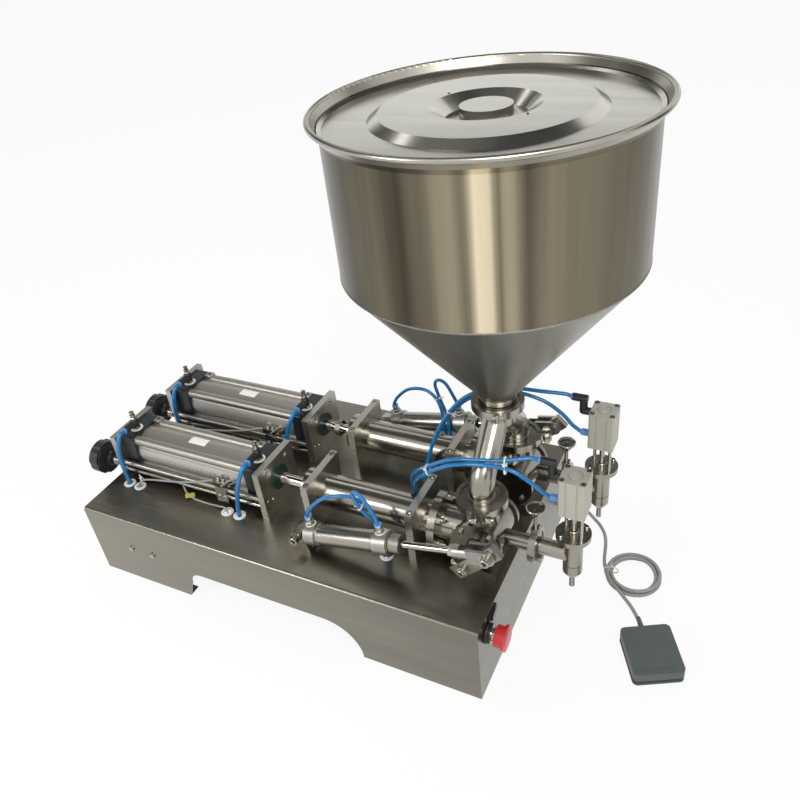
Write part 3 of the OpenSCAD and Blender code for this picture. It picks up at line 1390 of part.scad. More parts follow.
right_low_route = [[77, -46, 314], [76, -30, 332], [73, -2, 352], [69, 40, 362], [68, 82, 355],
    [65, 120, 333], [57, 146, 306], [44, 166, 270], [32, 180, 230], [23, 187, 190]];
module nozzle_tube(x0, yz, route, end) {
    sweep(hose([x0, yz[0], yz[1]], BACK, air_tube_d / 2, route, [end[0], end[1], deck_z]),
        air_tube_d, tube_sides);
}
module nozzle_air_tubes() {
    half = air_tube_d / 2 + tube_gap;
    color(BLUE) home() {
        nozzle_tube(-head_x, elbow_out, left_top_route, [nozzle_grommet_x[0], nozzle_grommet_y[0] + half]);
        nozzle_tube(-head_x, lower_out, left_low_route, [nozzle_grommet_x[0], nozzle_grommet_y[0] - half]);
        nozzle_tube(head_x, elbow_out, right_top_route, [nozzle_grommet_x[1], nozzle_grommet_y[1] - half]);
        nozzle_tube(head_x, lower_out, right_low_route, [nozzle_grommet_x[1], nozzle_grommet_y[1] + half]);
    }
}
function on_act_line(s, h) = [-act_x, act_pivot_y - s * cos(act_tilt) + h * sin(act_tilt),
    act_pivot_z + s * sin(act_tilt) + h * cos(act_tilt)];
act_rear_route = [[-155, 296, 240], [-151, 270, 264], [-145, 236, 274], [-139, 212, 265], [-134, 200.5, 243],
    [-129.5, 196, 215], [-130.5, 191, 180]];
act_front_route = [[-154, 184, 262], [-154, 198, 288], [-152, 211, 295], [-150, 217, 285], [-148, 209, 259],
    [-139.5, 194, 232], [-131, 187.5, 212], [-130.5, 184.2, 190], [-131, 183.8, 172]];
module actuator_air_tubes() {
    half = air_tube_d / 2 + tube_gap;
    out = [0, sin(act_tilt), cos(act_tilt)];
    color(BLUE) home() for (side = [LEFT, RIGHT]) outboard(side) {
        sweep(hose(on_act_line(cap0_s + fitting_in, act_cap_d / 2 + fitting_h), out, air_tube_d,
            act_rear_route, [-act_grommet_x, act_grommet_y + half, deck_z]), air_tube_d, tube_sides);
        sweep(hose(on_act_line(nose_end_s - nose_l - cap1_l / 2, act_cap_d / 2 + fitting_h), out, air_tube_d,
            act_front_route, [-act_grommet_x, act_grommet_y - half, deck_z]), air_tube_d, tube_sides);
    }
}
carriage_lead_route = [[-45, 530, 200], [-51, 548, 196], [-54, 580, 188], [-56, 620, 180], [-57, 655, 174],
    [-59, 680, 168], [-60, 691, 158]];
barrel_lead_route = [[-31, 618, 165], [-39, 606, 160.5], [-48, 592, 155], [-54, 572, 151.9],
    [-56, 540, 151.9], [-57, 516, 154], [-59, 500, 158], [-60, 495, 155]];
module sensor_leads() {
    color(CORD) home() for (side = [LEFT, RIGHT]) on_head(side) {
        sweep(hose([-screw_x, carriage_y - carriage_l / 2 + reed_l, axis_z - screw_drop + carriage_high
            + reed_h / 2], BACK, lead_d, carriage_lead_route, [-tube_grommet_x, rear_lead_y, deck_z],
            drive_dy), lead_d, tube_sides);
        sweep(hose([-tie_at, sensor_y - sensor_l / 2, axis_z - tie_at - tie_r - sensor_h / 2 - fit_gap],
            -BACK, lead_d, barrel_lead_route, [-tube_grommet_x, front_lead_y, deck_z], drive_dy),
            lead_d, tube_sides);
    }
}

base_shell();
valve_manifolds();
air_inlet();
deck_grommets();
hopper_drum();
hopper_funnel();
hopper_lid();
pipe_clamps();
feed_manifold();
switch_collars();
estop_button();
power_rocker();
cord_gland();
foot_cord();
foot_cord_coil();
foot_switch_base();
foot_switch_treadle();
drive_rear_plates();
drive_front_plates();
drive_heads();
rod_gland_rings();
drive_barrels();
scale_rulers();
guide_rods();
barrel_sensors();
lower_clamps();
upper_clamps();
socket_screws();
product_barrels();
flange_bolts();
valve_bodies();
valve_covers();
valve_stands();
actuator_brackets();
outlet_clamps();
air_fittings();
drive_air_tubes();
nozzle_air_tubes();
actuator_air_tubes();
sensor_leads();
nozzle_cylinders();
nozzle_bodies();
left_adjuster();
right_adjuster();
left_sensor_carriage();
right_sensor_carriage();
left_piston_rod();
right_piston_rod();
left_product_piston();
right_product_piston();
left_valve_rotor();
right_valve_rotor();
left_crank();
right_crank();
left_actuator_barrel();
right_actuator_barrel();
left_actuator_rod();
right_actuator_rod();
left_nozzle_needle();
right_nozzle_needle();
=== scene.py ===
"""Looks for the piston filling machine: finishes, tubes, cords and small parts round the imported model."""
from functools import partialmethod
from math import cos, hypot, pi, radians, sin

import bmesh
import bpy
from mathutils import Matrix, Vector


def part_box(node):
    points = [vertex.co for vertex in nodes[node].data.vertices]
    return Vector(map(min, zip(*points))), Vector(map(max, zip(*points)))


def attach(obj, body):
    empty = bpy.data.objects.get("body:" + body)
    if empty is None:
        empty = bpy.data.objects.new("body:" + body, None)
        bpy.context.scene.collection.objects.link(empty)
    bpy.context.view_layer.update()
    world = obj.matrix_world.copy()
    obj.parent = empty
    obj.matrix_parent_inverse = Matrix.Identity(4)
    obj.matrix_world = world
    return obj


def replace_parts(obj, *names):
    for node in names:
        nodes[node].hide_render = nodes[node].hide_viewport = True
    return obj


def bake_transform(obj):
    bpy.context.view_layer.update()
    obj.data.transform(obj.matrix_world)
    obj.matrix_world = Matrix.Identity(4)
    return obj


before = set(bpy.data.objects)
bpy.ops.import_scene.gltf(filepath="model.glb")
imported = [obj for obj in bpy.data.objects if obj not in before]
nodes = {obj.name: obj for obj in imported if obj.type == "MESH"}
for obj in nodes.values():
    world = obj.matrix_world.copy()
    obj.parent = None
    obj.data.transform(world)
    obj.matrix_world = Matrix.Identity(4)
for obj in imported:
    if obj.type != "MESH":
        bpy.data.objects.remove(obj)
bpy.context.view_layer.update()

# The front panel is the datum for every length along the machine: the row's origin
# lies behind it, under the middle between the hopper's rim and the hand knobs.
MM = 0.001
front_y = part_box("base_shell")[0][1]


def at(x, y, z):
    """A place given in millimetres from the centre plane, the front panel and the floor."""
    return Vector((x * MM, front_y + y * MM, z * MM))


def link(name, data):
    """A new object of the scene, made of this data."""
    piece = bpy.data.objects.new(name, data)
    bpy.context.collection.objects.link(piece)
    return piece


# Camera: fitted to the photograph, above the left rear of the nozzles, with a
# slight roll to the right. The picture is 800 pixels square.
camera = bpy.data.cameras.new("photo_camera")
SENSOR, PICTURE = 36, 800
camera.sensor_width = SENSOR
camera.lens = SENSOR * 781.5 / PICTURE
camera.shift_x = 2.28 / PICTURE
camera.shift_y = -2.14 / PICTURE
camera.clip_start = 0.05
photo_view = link("photo_view", camera)
eye = at(-853.7, -292.8, 1053.9)
aim = at(75.93, 251.69, 300)
look = (aim - eye).to_track_quat("-Z", "Y").to_matrix().to_4x4()
photo_view.matrix_world = Matrix.Translation(eye) @ look @ Matrix.Rotation(radians(-7.333), 4, "Z")
bpy.context.scene.camera = photo_view


# Foot switch cord: a round grey PVC lead from the gland in the front panel, wound
# three times round into a flat coil on the bench, tied, then on to the foot switch.
CORD_D = 6
COIL_X, COIL_Y = 95, -155
FOOT_AT = (-58, -214)
FOOT_TURN = radians(-62.8)
FOOT_L = 88


class Shade:
    """A node socket whose operators add the Math or Mix nodes of the expression."""

    def __init__(self, finish, socket):
        self.finish, self.socket = finish, socket

    def math(self, operation, other=None, flip=False):
        values = {0: self} if other is None else {0: other, 1: self} if flip else {0: self, 1: other}
        return self.finish.node("Math", {"operation": operation}, values)

    __add__ = __radd__ = partialmethod(math, "ADD")
    __sub__ = partialmethod(math, "SUBTRACT")
    __rsub__ = partialmethod(math, "SUBTRACT", flip=True)
    __mul__ = __rmul__ = partialmethod(math, "MULTIPLY")
    __truediv__ = partialmethod(math, "DIVIDE")
    __rtruediv__ = partialmethod(math, "DIVIDE", flip=True)
    __mod__ = partialmethod(math, "FLOORED_MODULO")
    __rmod__ = partialmethod(math, "FLOORED_MODULO", flip=True)
    __gt__ = partialmethod(math, "GREATER_THAN")
    __lt__ = partialmethod(math, "LESS_THAN")
    __abs__ = partialmethod(math, "ABSOLUTE")

    def mix(self, low, high):
        """Goes from colour low to colour high as this value goes from 0 to 1."""
        return self.finish.node("Mix", {"data_type": "RGBA"}, {0: self, 6: low, 7: high}, 2)


class Finish:
    """One procedural material: its Principled shader and the nodes that feed it."""

    def __init__(self, name, color, roughness, metallic=0, slot="polished_steel", **fixed):
        self.slot = slot
        self.material = bpy.data.materials.new(name)
        self.material.use_nodes = True
        self.tree = self.material.node_tree
        self.shader = self.tree.nodes["Principled BSDF"]
        self.color = (*color, 1)
        self.set("Base Color", self.color)
        self.set("Roughness", roughness)
        self.set("Metallic", metallic)
        for socket, value in fixed.items():
            self.set(socket.replace("_", " "), value)

    def set(self, socket, value):
        if isinstance(value, Shade):
            self.tree.links.new(value.socket, self.shader.inputs[socket])
        else:
            self.shader.inputs[socket].default_value = value

    def node(self, kind, settings=None, values=None, output=0):
        made = self.tree.nodes.new("ShaderNode" + kind)
        for name, value in (settings or {}).items():
            if name == "stops":
                ramp = made.color_ramp.elements
                while len(ramp) < len(value):
                    ramp.new(1)
                for stop, (place, shade) in zip(ramp, value):
                    stop.position, stop.color = place, (shade, shade, shade, 1)
            else:
                setattr(made, name, value)
        for key, value in (values or {}).items():
            if isinstance(value, Shade):
                self.tree.links.new(value.socket, made.inputs[key])
            else:
                made.inputs[key].default_value = value
        return Shade(self, made.outputs[output])

    def place(self):
        return self.node("TexCoord", output=3)

    def axis(self, index):
        return self.node("SeparateXYZ", values={0: self.place()}, output=index)

    def noise(self, scale, detail=2, stretch=(1, 1, 1), rough=0.5):
        """Grey cloud from 0 to 1; stretch squeezes it along an axis, as brushing does."""
        spread = self.node("Mapping", values={0: self.place(), 3: stretch})
        return self.node("TexNoise", values={0: spread, 2: scale, 3: detail, 4: rough})

    def ramp(self, value, stops):
        """Reads a value off a curve of (place, height) stops, with straight lines between."""
        return self.node("ValToRGB", {"stops": stops}, {0: value})

    def shift(self, cloud, low, high):
        """Lets a cloud move the colour between two shades of itself."""
        dark = (*(c * low for c in self.color[:3]), 1)
        light = (*(min(c * high, 1) for c in self.color[:3]), 1)
        self.set("Base Color", cloud.mix(dark, light))

    def bump(self, height, strength, distance):
        """A bump of this height, in metres, laid over the surface."""
        self.set("Normal", self.node("Bump", values={0: strength, 1: distance, "Height": height}))


def worn(name, color, roughness, metallic, shade, gloss=None, grain=None, **fixed):
    """A finish varied by noise: shade is (noise, low, high), gloss (noise, span, base) and
    grain (noise, strength, depth), where noise holds what Finish.noise takes."""
    made = Finish(name, color, roughness, metallic, **fixed)
    made.shift(made.noise(*shade[0]), *shade[1:])
    if gloss:
        made.set("Roughness", made.noise(*gloss[0]) * gloss[1] + gloss[2])
    if grain:
        made.bump(made.noise(*grain[0]), *grain[1:])
    return made


def smooth(points, steps=6):
    """A curve through a route's points, by Catmull and Rom's rule, as in the part's source."""
    points = [Vector(p) for p in points]
    points = [2 * points[0] - points[1], *points, 2 * points[-1] - points[-2]]
    line = []
    for a, b, c, d in zip(points, points[1:], points[2:], points[3:]):
        for k in range(steps):
            u = k / steps
            lift = 2 * b + (c - a) * u + (2 * a - 5 * b + 4 * c - d) * u ** 2
            line.append(0.5 * (lift + (3 * b - a - 3 * c + d) * u ** 3))
    return line + [points[-2]]


def settle(name, data, finish, body):
    """Puts a piece in the scene with its finish, on the body that it rides."""
    data.materials.append(finish.material)
    piece = link(name, data)
    if body:
        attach(piece, body)
    return piece


def tube(name, lines, diameter, finish, body="machine", sides=4, swell=None):
    """Round tubes along lines of points in millimetres; swell gives their ends' widths."""
    curve = bpy.data.curves.new(name, "CURVE")
    curve.dimensions = "3D"
    curve.bevel_depth = diameter / 2 * MM
    curve.bevel_resolution = sides
    curve.use_fill_caps = True
    for points in lines:
        line = curve.splines.new("POLY")
        line.points.add(len(points) - 1)
        for i, (spot, p) in enumerate(zip(line.points, points)):
            spot.co = (*at(*p), 1)
            if swell:
                spot.radius = swell[0] + (swell[1] - swell[0]) * i / (len(points) - 1)
        line.use_smooth = True
    return settle(name, curve, finish, body)


def coil_point(turn):
    """The coil's centreline: in along the bottom layer, up, and out along the top one."""
    start, radius, pitch, back, climb = 112, 44.5, 6.6, 1.5, 0.5
    inward = turn if turn < back else 2 * back - turn
    angle = radians(start + 360 * turn)
    lift = min(max((turn - back + climb / 2) / climb, 0), 1)
    reach = radius - pitch * inward
    return Vector((COIL_X + reach * cos(angle), COIL_Y + reach * sin(angle),
        CORD_D / 2 + pitch * lift * lift * (3 - 2 * lift)))


grey_lead = worn("grey_lead", (0.3, 0.3, 0.28), 0.42, 0, ((60, 3), 0.85, 1.12),
    grain=((900, 2), 0.15, 0.0002), Specular_IOR_Level=0.4, slot="grey_cord")
COIL_TURNS, COIL_STEPS = 3.083, 222
coil = [coil_point(COIL_TURNS * i / COIL_STEPS) for i in range(COIL_STEPS + 1)]
coil_in = (coil[0] - coil[1]).normalized()
coil_out = (coil[-1] - coil[-2]).normalized()
foot_way = Vector((-sin(FOOT_TURN), cos(FOOT_TURN), 0))
foot_exit = Vector((*FOOT_AT, 6)) + foot_way * (FOOT_L / 2 + 8)
to_coil = smooth([(205, -16, 25), (205, -22, 25), (205, -28, 24.5), (206, -38, 21), (206, -48, 14),
    (203, -58, 7), (197, -68, 3.5), (187, -77, 3), (174, -85, 3), (158, -91, 3), (140, -95, 3), (122, -98, 3),
    (106, -102, 3), coil[0] + coil_in * 2 * CORD_D, coil[0] + coil_in * CORD_D, coil[0]])
to_foot = smooth([coil[-1], coil[-1] + coil_out * CORD_D, coil[-1] + coil_out * 2 * CORD_D, (32, -160, 4.5),
    (20, -171, 3.5), (7, -180, 4), (-4, -186, 5.2), foot_exit + foot_way * CORD_D, foot_exit])
cord_line = to_coil[:-1] + coil + to_foot[1:]
foot_cord = tube("foot_cord_lead", [cord_line], CORD_D, grey_lead, sides=5)
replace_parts(foot_cord, "foot_cord", "foot_cord_coil")

# Studio: a pale floor that runs out of the picture, a white surround and soft
# lamps. The camera and the metal see the floor and the surround as white.
paper = Finish("floor_paper", (0.86, 0.86, 0.85), 0.9)
glow = paper.node("Emission", values={0: (1, 1, 1, 1), 1: 1})
WHITE_FOR = ("Is Camera Ray", "Is Glossy Ray", "Is Transmission Ray")
seen = sum((paper.node("LightPath", output=ray) for ray in WHITE_FOR), 0)
lit_paper = paper.node("MixShader", values={0: seen * 0.9, 1: Shade(paper, paper.shader.outputs[0]), 2: glow})
paper.tree.links.new(lit_paper.socket, paper.tree.nodes["Material Output"].inputs["Surface"])
bpy.ops.mesh.primitive_plane_add(size=30, location=(0, 0, -0.0005))
floor = bpy.context.object
floor.name = "studio_floor"
floor.data.materials.append(paper.material)
world = bpy.data.worlds.new("studio_world")
bpy.context.scene.world = world
world.use_nodes = True
sky = world.node_tree
rays = sky.nodes.new("ShaderNodeLightPath")
last = None
for ray in WHITE_FOR:
    join = sky.nodes.new("ShaderNodeMath")
    join.operation = "MAXIMUM"
    sky.links.new(rays.outputs[ray], join.inputs[0])
    join.inputs[1].default_value = 0
    if last:
        sky.links.new(last.outputs[0], join.inputs[1])
    last = join
level = sky.nodes.new("ShaderNodeMath")
level.operation = "MULTIPLY_ADD"
level.inputs[1].default_value = 0.5
level.inputs[2].default_value = 0.5
sky.links.new(last.outputs[0], level.inputs[0])
sky.links.new(level.outputs[0], sky.nodes["Background"].inputs["Strength"])
sky.nodes["Background"].inputs["Color"].default_value = (1, 1, 1, 1)
for name, spot, size, power in (("key_lamp", (-1.6, -1.4, 2.4), 1.2, 42),
        ("side_lamp", (-2.2, 1.4, 1.7), 0.8, 24), ("top_lamp", (0.6, 0.8, 3), 2, 26)):
    lamp = bpy.data.lights.new(name, "AREA")
    lamp.size = size
    lamp.energy = power
    lamp_piece = link(name, lamp)
    lamp_piece.location = spot
    lamp_piece.rotation_euler = (Vector((0, 0, 0.25)) - Vector(spot)).to_track_quat("-Z", "Y").to_euler()
bpy.context.scene.view_settings.view_transform = "Standard"
# Grey cards stand round the machine out of the picture, as for any polished metal:
# only its reflections show them, so that its round surfaces get dark edges.
UP, BACK, RIGHT = Vector((0, 0, 1)), Vector((0, 1, 0)), Vector((1, 0, 0))
card_grey = Finish("card_grey", (0.03, 0.03, 0.028), 0.9)


def card(name, corners):
    """One grey card, hidden from all but reflections."""
    mesh = bpy.data.meshes.new(name)
    mesh.from_pydata(corners, [], [(0, 1, 2, 3)])
    mesh.materials.append(card_grey.material)
    sheet = link(name, mesh)
    sheet.visible_camera = sheet.visible_diffuse = sheet.visible_shadow = sheet.visible_transmission = False


for number, (azimuth, reach, width, low, high) in enumerate(((232, 1.5, 0.45, 0.6, 1.3),
        (300, 1.6, 0.9, 0.6, 1.6), (20, 1.9, 1.9, 1.56, 2.9), (72, 1.9, 1.6, 1.1, 2.9),
        (118, 1.9, 1.3, 1.1, 2.9))):
    middle = Matrix.Rotation(radians(azimuth), 3, "Z") @ RIGHT * reach
    across = Matrix.Rotation(radians(azimuth + 90), 3, "Z") @ RIGHT * width / 2
    card(f"card_{number}", [middle + across * s + UP * z
        for s, z in ((-1, low), (1, low), (1, high), (-1, high))])
card("card_above", [(x, y, 2.8) for x, y in ((-1, -1.4), (2.2, -1.4), (2.2, 2.4), (-1, 2.4))])


# Base cabinet: 2 mm stainless sheet, ground along its length and folded over the
# two long edges, with the front and rear panels welded in and ground flush.
def dress(finish, *names):
    """Gives CAD nodes this finish all over."""
    for name in names:
        nodes[name].data.materials.clear()
        nodes[name].data.materials.append(finish.material)


sheet_steel = Finish("sheet_steel", (0.225, 0.21, 0.175), 0.3, 1)
# Painted shade: besides its noise, the sheet's colour grows lighter from the front panel towards the rear.
sheet_steel.shift(sheet_steel.noise(5, 4, (3, 0.5, 6), 0.6) * 0.6 + (sheet_steel.axis(1) - front_y) * 0.55,
    0.72, 1.45)
sheet_steel.set("Roughness", sheet_steel.noise(160, 3, (1, 0.03, 1), 0.6) * 0.16 + 0.24)
sheet_steel.bump(sheet_steel.noise(900, 2, (1, 0.015, 1), 0.6), 0.1, 0.0002)
dress(sheet_steel, "base_shell")
nickel = worn("nickel_plate", (0.44, 0.41, 0.34), 0.2, 1, ((300, 3), 0.75, 1.15), ((500, 2), 0.12, 0.14))
dress(nickel, "socket_screws")


# Valve manifolds: aluminium blocks screwed inside the sides, with nylon valve bodies
# on them, and the plated inlet fitting for compressed air in the rear panel.
def dress_part(finish, name, where):
    """Gives this finish to the faces of a CAD node whose middle, in millimetres, is where it says."""
    mesh = nodes[name].data
    mesh.materials.append(finish.material)
    for face in mesh.polygons:
        x, y, z = (face.center - at(0, 0, 0)) / MM
        if where(x, y, z):
            face.material_index = len(mesh.materials) - 1


inner_alloy = worn("inner_alloy", (0.42, 0.41, 0.39), 0.4, 1, ((90, 3), 0.8, 1.1))
nylon = worn("white_nylon", (0.72, 0.72, 0.69), 0.42, 0, ((120, 3), 0.9, 1.06),
    grain=((1500, 2), 0.08, 0.0001), slot="white_plastic")
dress(inner_alloy, "valve_manifolds")
dress_part(nylon, "valve_manifolds", lambda x, y, z: abs(x) < 197.5)
dress(nickel, "air_inlet")

# Grommets: white nylon rings pressed into the holes of the deck, where the blue tubes
# and the grey leads go down into the base.
dress(nylon, "deck_grommets")


# Hopper: stainless sheet rolled into a drum, ground round and round, with the rim
# rolled over a wire and a spun funnel welded under it. Light and dark stripes round
# the drum are painted reflections, with a painted highlight, set by the angle round its axis.
def lathe(profile, place, axis, sides=40, closed=False):
    """Points and faces of a turned shape: profile gives (length along the axis, radius)."""
    along = Vector(axis).normalized()
    side = along.orthogonal().normalized()
    up = along.cross(side)
    points, faces = [], []
    count = len(profile)
    for k in range(sides):
        turn = 2 * pi * k / sides
        out = side * cos(turn) + up * sin(turn)
        points += [Vector(place) + along * a + out * r for a, r in profile]
    for k in range(sides):
        here, there = k * count, (k + 1) % sides * count
        for i in range(count if closed else count - 1):
            j = (i + 1) % count
            faces.append((here + i, here + j, there + j, there + i))
    if not closed:
        faces += [[k * count for k in range(sides)], [k * count + count - 1 for k in range(sides)][::-1]]
    return points, faces


def slab(outline, depth, place, u, v, edge=0.5):
    """Points and faces of a plate: outline in (u, v) from place, thick along u x v, edges broken."""
    u, v = Vector(u).normalized(), Vector(v).normalized()
    w = u.cross(v)
    middle = Vector((sum(p[0] for p in outline), sum(p[1] for p in outline))) / len(outline)
    points = []
    for inset, level in ((edge, 0), (0, edge), (0, depth - edge), (edge, depth)):
        for p in outline:
            away = Vector(p) - middle
            a, b = Vector(p) - away * min(inset / max(away.length, 0.001), 0.9)
            points.append(Vector(place) + u * a + v * b + w * level)
    count = len(outline)
    faces = [list(range(count))[::-1], [3 * count + i for i in range(count)]]
    for ring in range(3):
        for i in range(count):
            a, b = ring * count + i, ring * count + (i + 1) % count
            faces.append((a, b, b + count, a + count))
    return points, faces


def make(name, shapes, finish, body="machine", sharp=35):
    """One piece from closed shapes in millimetres, shaded smooth up to the sharp angle."""
    sheet = bmesh.new()
    for points, faces in shapes:
        corners = [sheet.verts.new(at(*p)) for p in points]
        for face in faces:
            sheet.faces.new([corners[i] for i in face])
    bmesh.ops.remove_doubles(sheet, verts=sheet.verts, dist=1e-6)
    bmesh.ops.recalc_face_normals(sheet, faces=sheet.faces)
    mesh = bpy.data.meshes.new(name)
    sheet.to_mesh(mesh)
    sheet.free()
    mesh.shade_smooth()
    mesh.set_sharp_from_angle(angle=radians(sharp))
    return settle(name, mesh, finish, body)


def box(w, h):
    """Corners of a rectangle about its middle."""
    return [(-w / 2, -h / 2), (w / 2, -h / 2), (w / 2, h / 2), (-w / 2, h / 2)]


# The hopper's axis and both valves stand in one line across the machine.
VALVE_Y = 43
drum_steel = Finish("drum_steel", (0.275, 0.238, 0.168), 0.3, 1, Anisotropic=0.75, Anisotropic_Rotation=0.25)
from_middle = drum_steel.axis(1) - (front_y + VALVE_Y * MM)
around = from_middle.math("ARCTAN2", drum_steel.axis(0) * -1) / (2 * pi) + 0.5
# Painted reflections: a curve of light and dark stripes over the angle round the drum, with a painted
# highlight at 0.44 to 0.45.
painted_reflection_bands = drum_steel.ramp(around, [(0, 0.14), (0.18, 0.1), (0.22, 0.06), (0.27, 0.12), (0.306, 0.14),
    (0.339, 0.18), (0.375, 0.22), (0.392, 0.27), (0.4, 0.22), (0.409, 0.1), (0.417, 0.2), (0.424, 0.42),
    (0.43, 0.36), (0.4355, 0.1), (0.4415, 0.85), (0.4535, 1), (0.459, 0.3), (0.464, 0.2), (0.473, 0.36),
    (0.486, 0.34), (0.494, 0.18), (0.508, 0.12), (0.517, 0.03), (0.53, 0.08), (0.548, 0.16), (0.572, 0.12),
    (0.59, 0.08), (0.612, 0.06), (0.639, 0.04), (0.7, 0.06), (1, 0.14)])
grain = drum_steel.noise(34, 4, (1, 1, 0.04), 0.65)
drum_steel.shift(painted_reflection_bands * 0.9 + grain * 0.14 - 0.07, 0.1, 3.4)
drum_steel.set("Roughness", drum_steel.noise(60, 3, (1, 1, 0.05), 0.6) * 0.14 + 0.22)
drum_steel.bump(drum_steel.noise(1100, 2, (0.02, 0.02, 1), 0.6), 0.1, 0.0002)
funnel_steel = worn("funnel_steel", (0.275, 0.26, 0.22), 0.34, 1, ((7, 2, (1, 1, 0.1), 0.4), 0.72, 1.3),
    ((20, 2), 0.06, 0.3), ((1100, 2, (0.03, 0.03, 1), 0.6), 0.04, 0.0002), Anisotropic=0.6,
    Anisotropic_Rotation=0.25)
dress(drum_steel, "hopper_drum")
dress(funnel_steel, "hopper_funnel")
rim_steel = worn("rim_steel", (0.44, 0.42, 0.36), 0.3, 1, ((20, 3), 0.75, 1.2))
dress_part(rim_steel, "hopper_drum", lambda x, y, z: z > 803 or z > 780 and hypot(x, y - VALVE_Y) < 191)
polished = worn("polished_steel", (0.38, 0.36, 0.31), 0.2, 1, ((18, 4), 0.7, 1.15), ((140, 3), 0.12, 0.16))
weld = worn("ground_weld", (0.33, 0.31, 0.27), 0.35, 1, ((500, 3), 0.6, 1.3), grain=((700, 2), 0.5, 0.0004))
make("hopper_welds", [lathe([(-1.6, 193.2), (-0.8, 194.5), (0.8, 194.6), (1.6, 193.6)], (0, VALVE_Y, 620), UP,
    128, True), lathe([(-1.2, 25), (-0.6, 26.1), (0.8, 26.3), (1.6, 25.4)], (0, VALVE_Y, 407), UP, 64, True),
    slab(box(2.2, 170), 0.7, (193.9, VALVE_Y, 710), BACK, UP, 0.2)], weld)
make("neck_band", [lathe([(0, 25.4), (0, 27.2), (0.5, 27.7), (8.5, 27.7), (9, 27.2), (9, 25.4)],
    (0, VALVE_Y, 397.5), UP, 64, True)], polished)

# Hopper lid: one pressed and polished stainless sheet. A loop handle in the dish is
# hidden under its button; two rivets hold the dish's edge.
lid_steel = worn("lid_steel", (0.62, 0.6, 0.54), 0.18, 1, ((7, 3), 0.9, 1.06),
    ((30, 4, (1, 0.06, 1), 0.6), 0.14, 0.13), ((6, 2), 0.25, 0.002))
dress(lid_steel, "hopper_lid")
lid_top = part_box("hopper_lid")[1][2] / MM
make("lid_rivets", [lathe([(-0.5, 2), (0.3, 2), (1, 1.2), (1.2, 0.3)], (70 * cos(a), VALVE_Y + 70 * sin(a),
    lid_top - 0.2), UP, 20) for a in (radians(60), radians(240))], nickel, "hopper_lid")


# Pipe clamps: polished rings in two halves round the ferrules of the feed pipes, with
# a hinge at one end and a nut that draws them together at the other.
def chamfer(width, segments, *names):
    """Breaks the sharp edges of CAD nodes, as a file or a mould does."""
    for name in names:
        bevel = nodes[name].modifiers.new("broken_edges", "BEVEL")
        bevel.width = width * MM
        bevel.segments = segments
        bevel.limit_method = "ANGLE"
        bevel.angle_limit = radians(40)
        bevel.use_clamp_overlap = False


dress(polished, "pipe_clamps", "feed_manifold")
chamfer(0.5, 1, "pipe_clamps")
HEAD_X = 77
clamp_bolts = []
for spot, turn in (((0, VALVE_Y, 391), 20), ((-HEAD_X, VALVE_Y, 271), 200), ((HEAD_X, VALVE_Y, 271), 290)):
    way = Vector((cos(radians(turn)), sin(radians(turn)), 0))
    cross = Vector((-way.y, way.x, 0))
    ear = Vector(spot) + way * 46.5
    for s in (-1, 1):
        clamp_bolts += [lathe([(0, 4.5), (3.2, 4.5), (4, 3.4)], ear + cross * s * 14, cross * s, 24),
            lathe([(0, 8.5), (1.2, 8.5)], ear + cross * s * 6.8, cross * s, 32)]
    hinge = Vector(spot) - way * 41
    clamp_bolts += [lathe([(-7.5, 2.6), (-6.9, 3.4), (6.9, 3.4), (7.5, 2.6)], hinge, UP, 24),
        slab([(-4, -8), (4, -5), (4, 5), (-4, 8)], 9, hinge + way * 2 - UP * 4.5, way, cross, 0.8)]
make("pipe_clamp_fasteners", clamp_bolts, nickel)
make("pipe_welds", [lathe([(-1.2, 18.4), (-0.5, 19.6), (0.6, 19.6), (1.3, 18.4)], (mid, VALVE_Y, 278), UP, 48,
    True) for mid in (-HEAD_X, HEAD_X)], weld)

# Emergency stop: a red mushroom head on a nickel neck and a black collar, and the
# mains rocker switch beside it in its black bezel.
STOP_X, STOP_Z = -185, 115
black_plastic = worn("black_plastic", (0.012, 0.0125, 0.014), 0.38, 0, ((200, 2), 0.7, 1.5),
    grain=((1600, 2), 0.12, 0.0001), slot="black_plastic")
red_cap = worn("red_cap", (0.52, 0.012, 0.022), 0.3, 0, ((90, 2), 0.85, 1.06), Coat_Weight=0.2,
    slot="red_plastic")
dress(black_plastic, "switch_collars", "power_rocker", "cord_gland")
dress_part(polished, "switch_collars", lambda x, y, z: x < -174 and -18.2 < y < -8 and abs(x - STOP_X) < 10.5)
dress(red_cap, "estop_button")
chamfer(0.7, 3, "estop_button")
make("estop_face", [lathe([(0, 17.5), (-0.7, 16.5), (-1.2, 12), (-1.4, 5), (-1.45, 0.2)],
    (STOP_X, -30.9, STOP_Z), BACK, 48), *[slab([(-2.2, 0), (2.2, 0), (0, 4)], 0.5, (STOP_X + 9 * cos(a), -32,
    STOP_Z + 9 * sin(a)), (cos(a + 1.571), 0, sin(a + 1.571)), (cos(a), 0, sin(a)), 0.1)
    for a in (0.5, 2.6, 4.7)]], red_cap, "estop_button")
make("collar_nut", [lathe([(0, 15), (0, 16.5), (1.5, 17.2), (3, 16.5), (3, 15)], (STOP_X, -3.2, STOP_Z), BACK,
    12, True)], black_plastic)

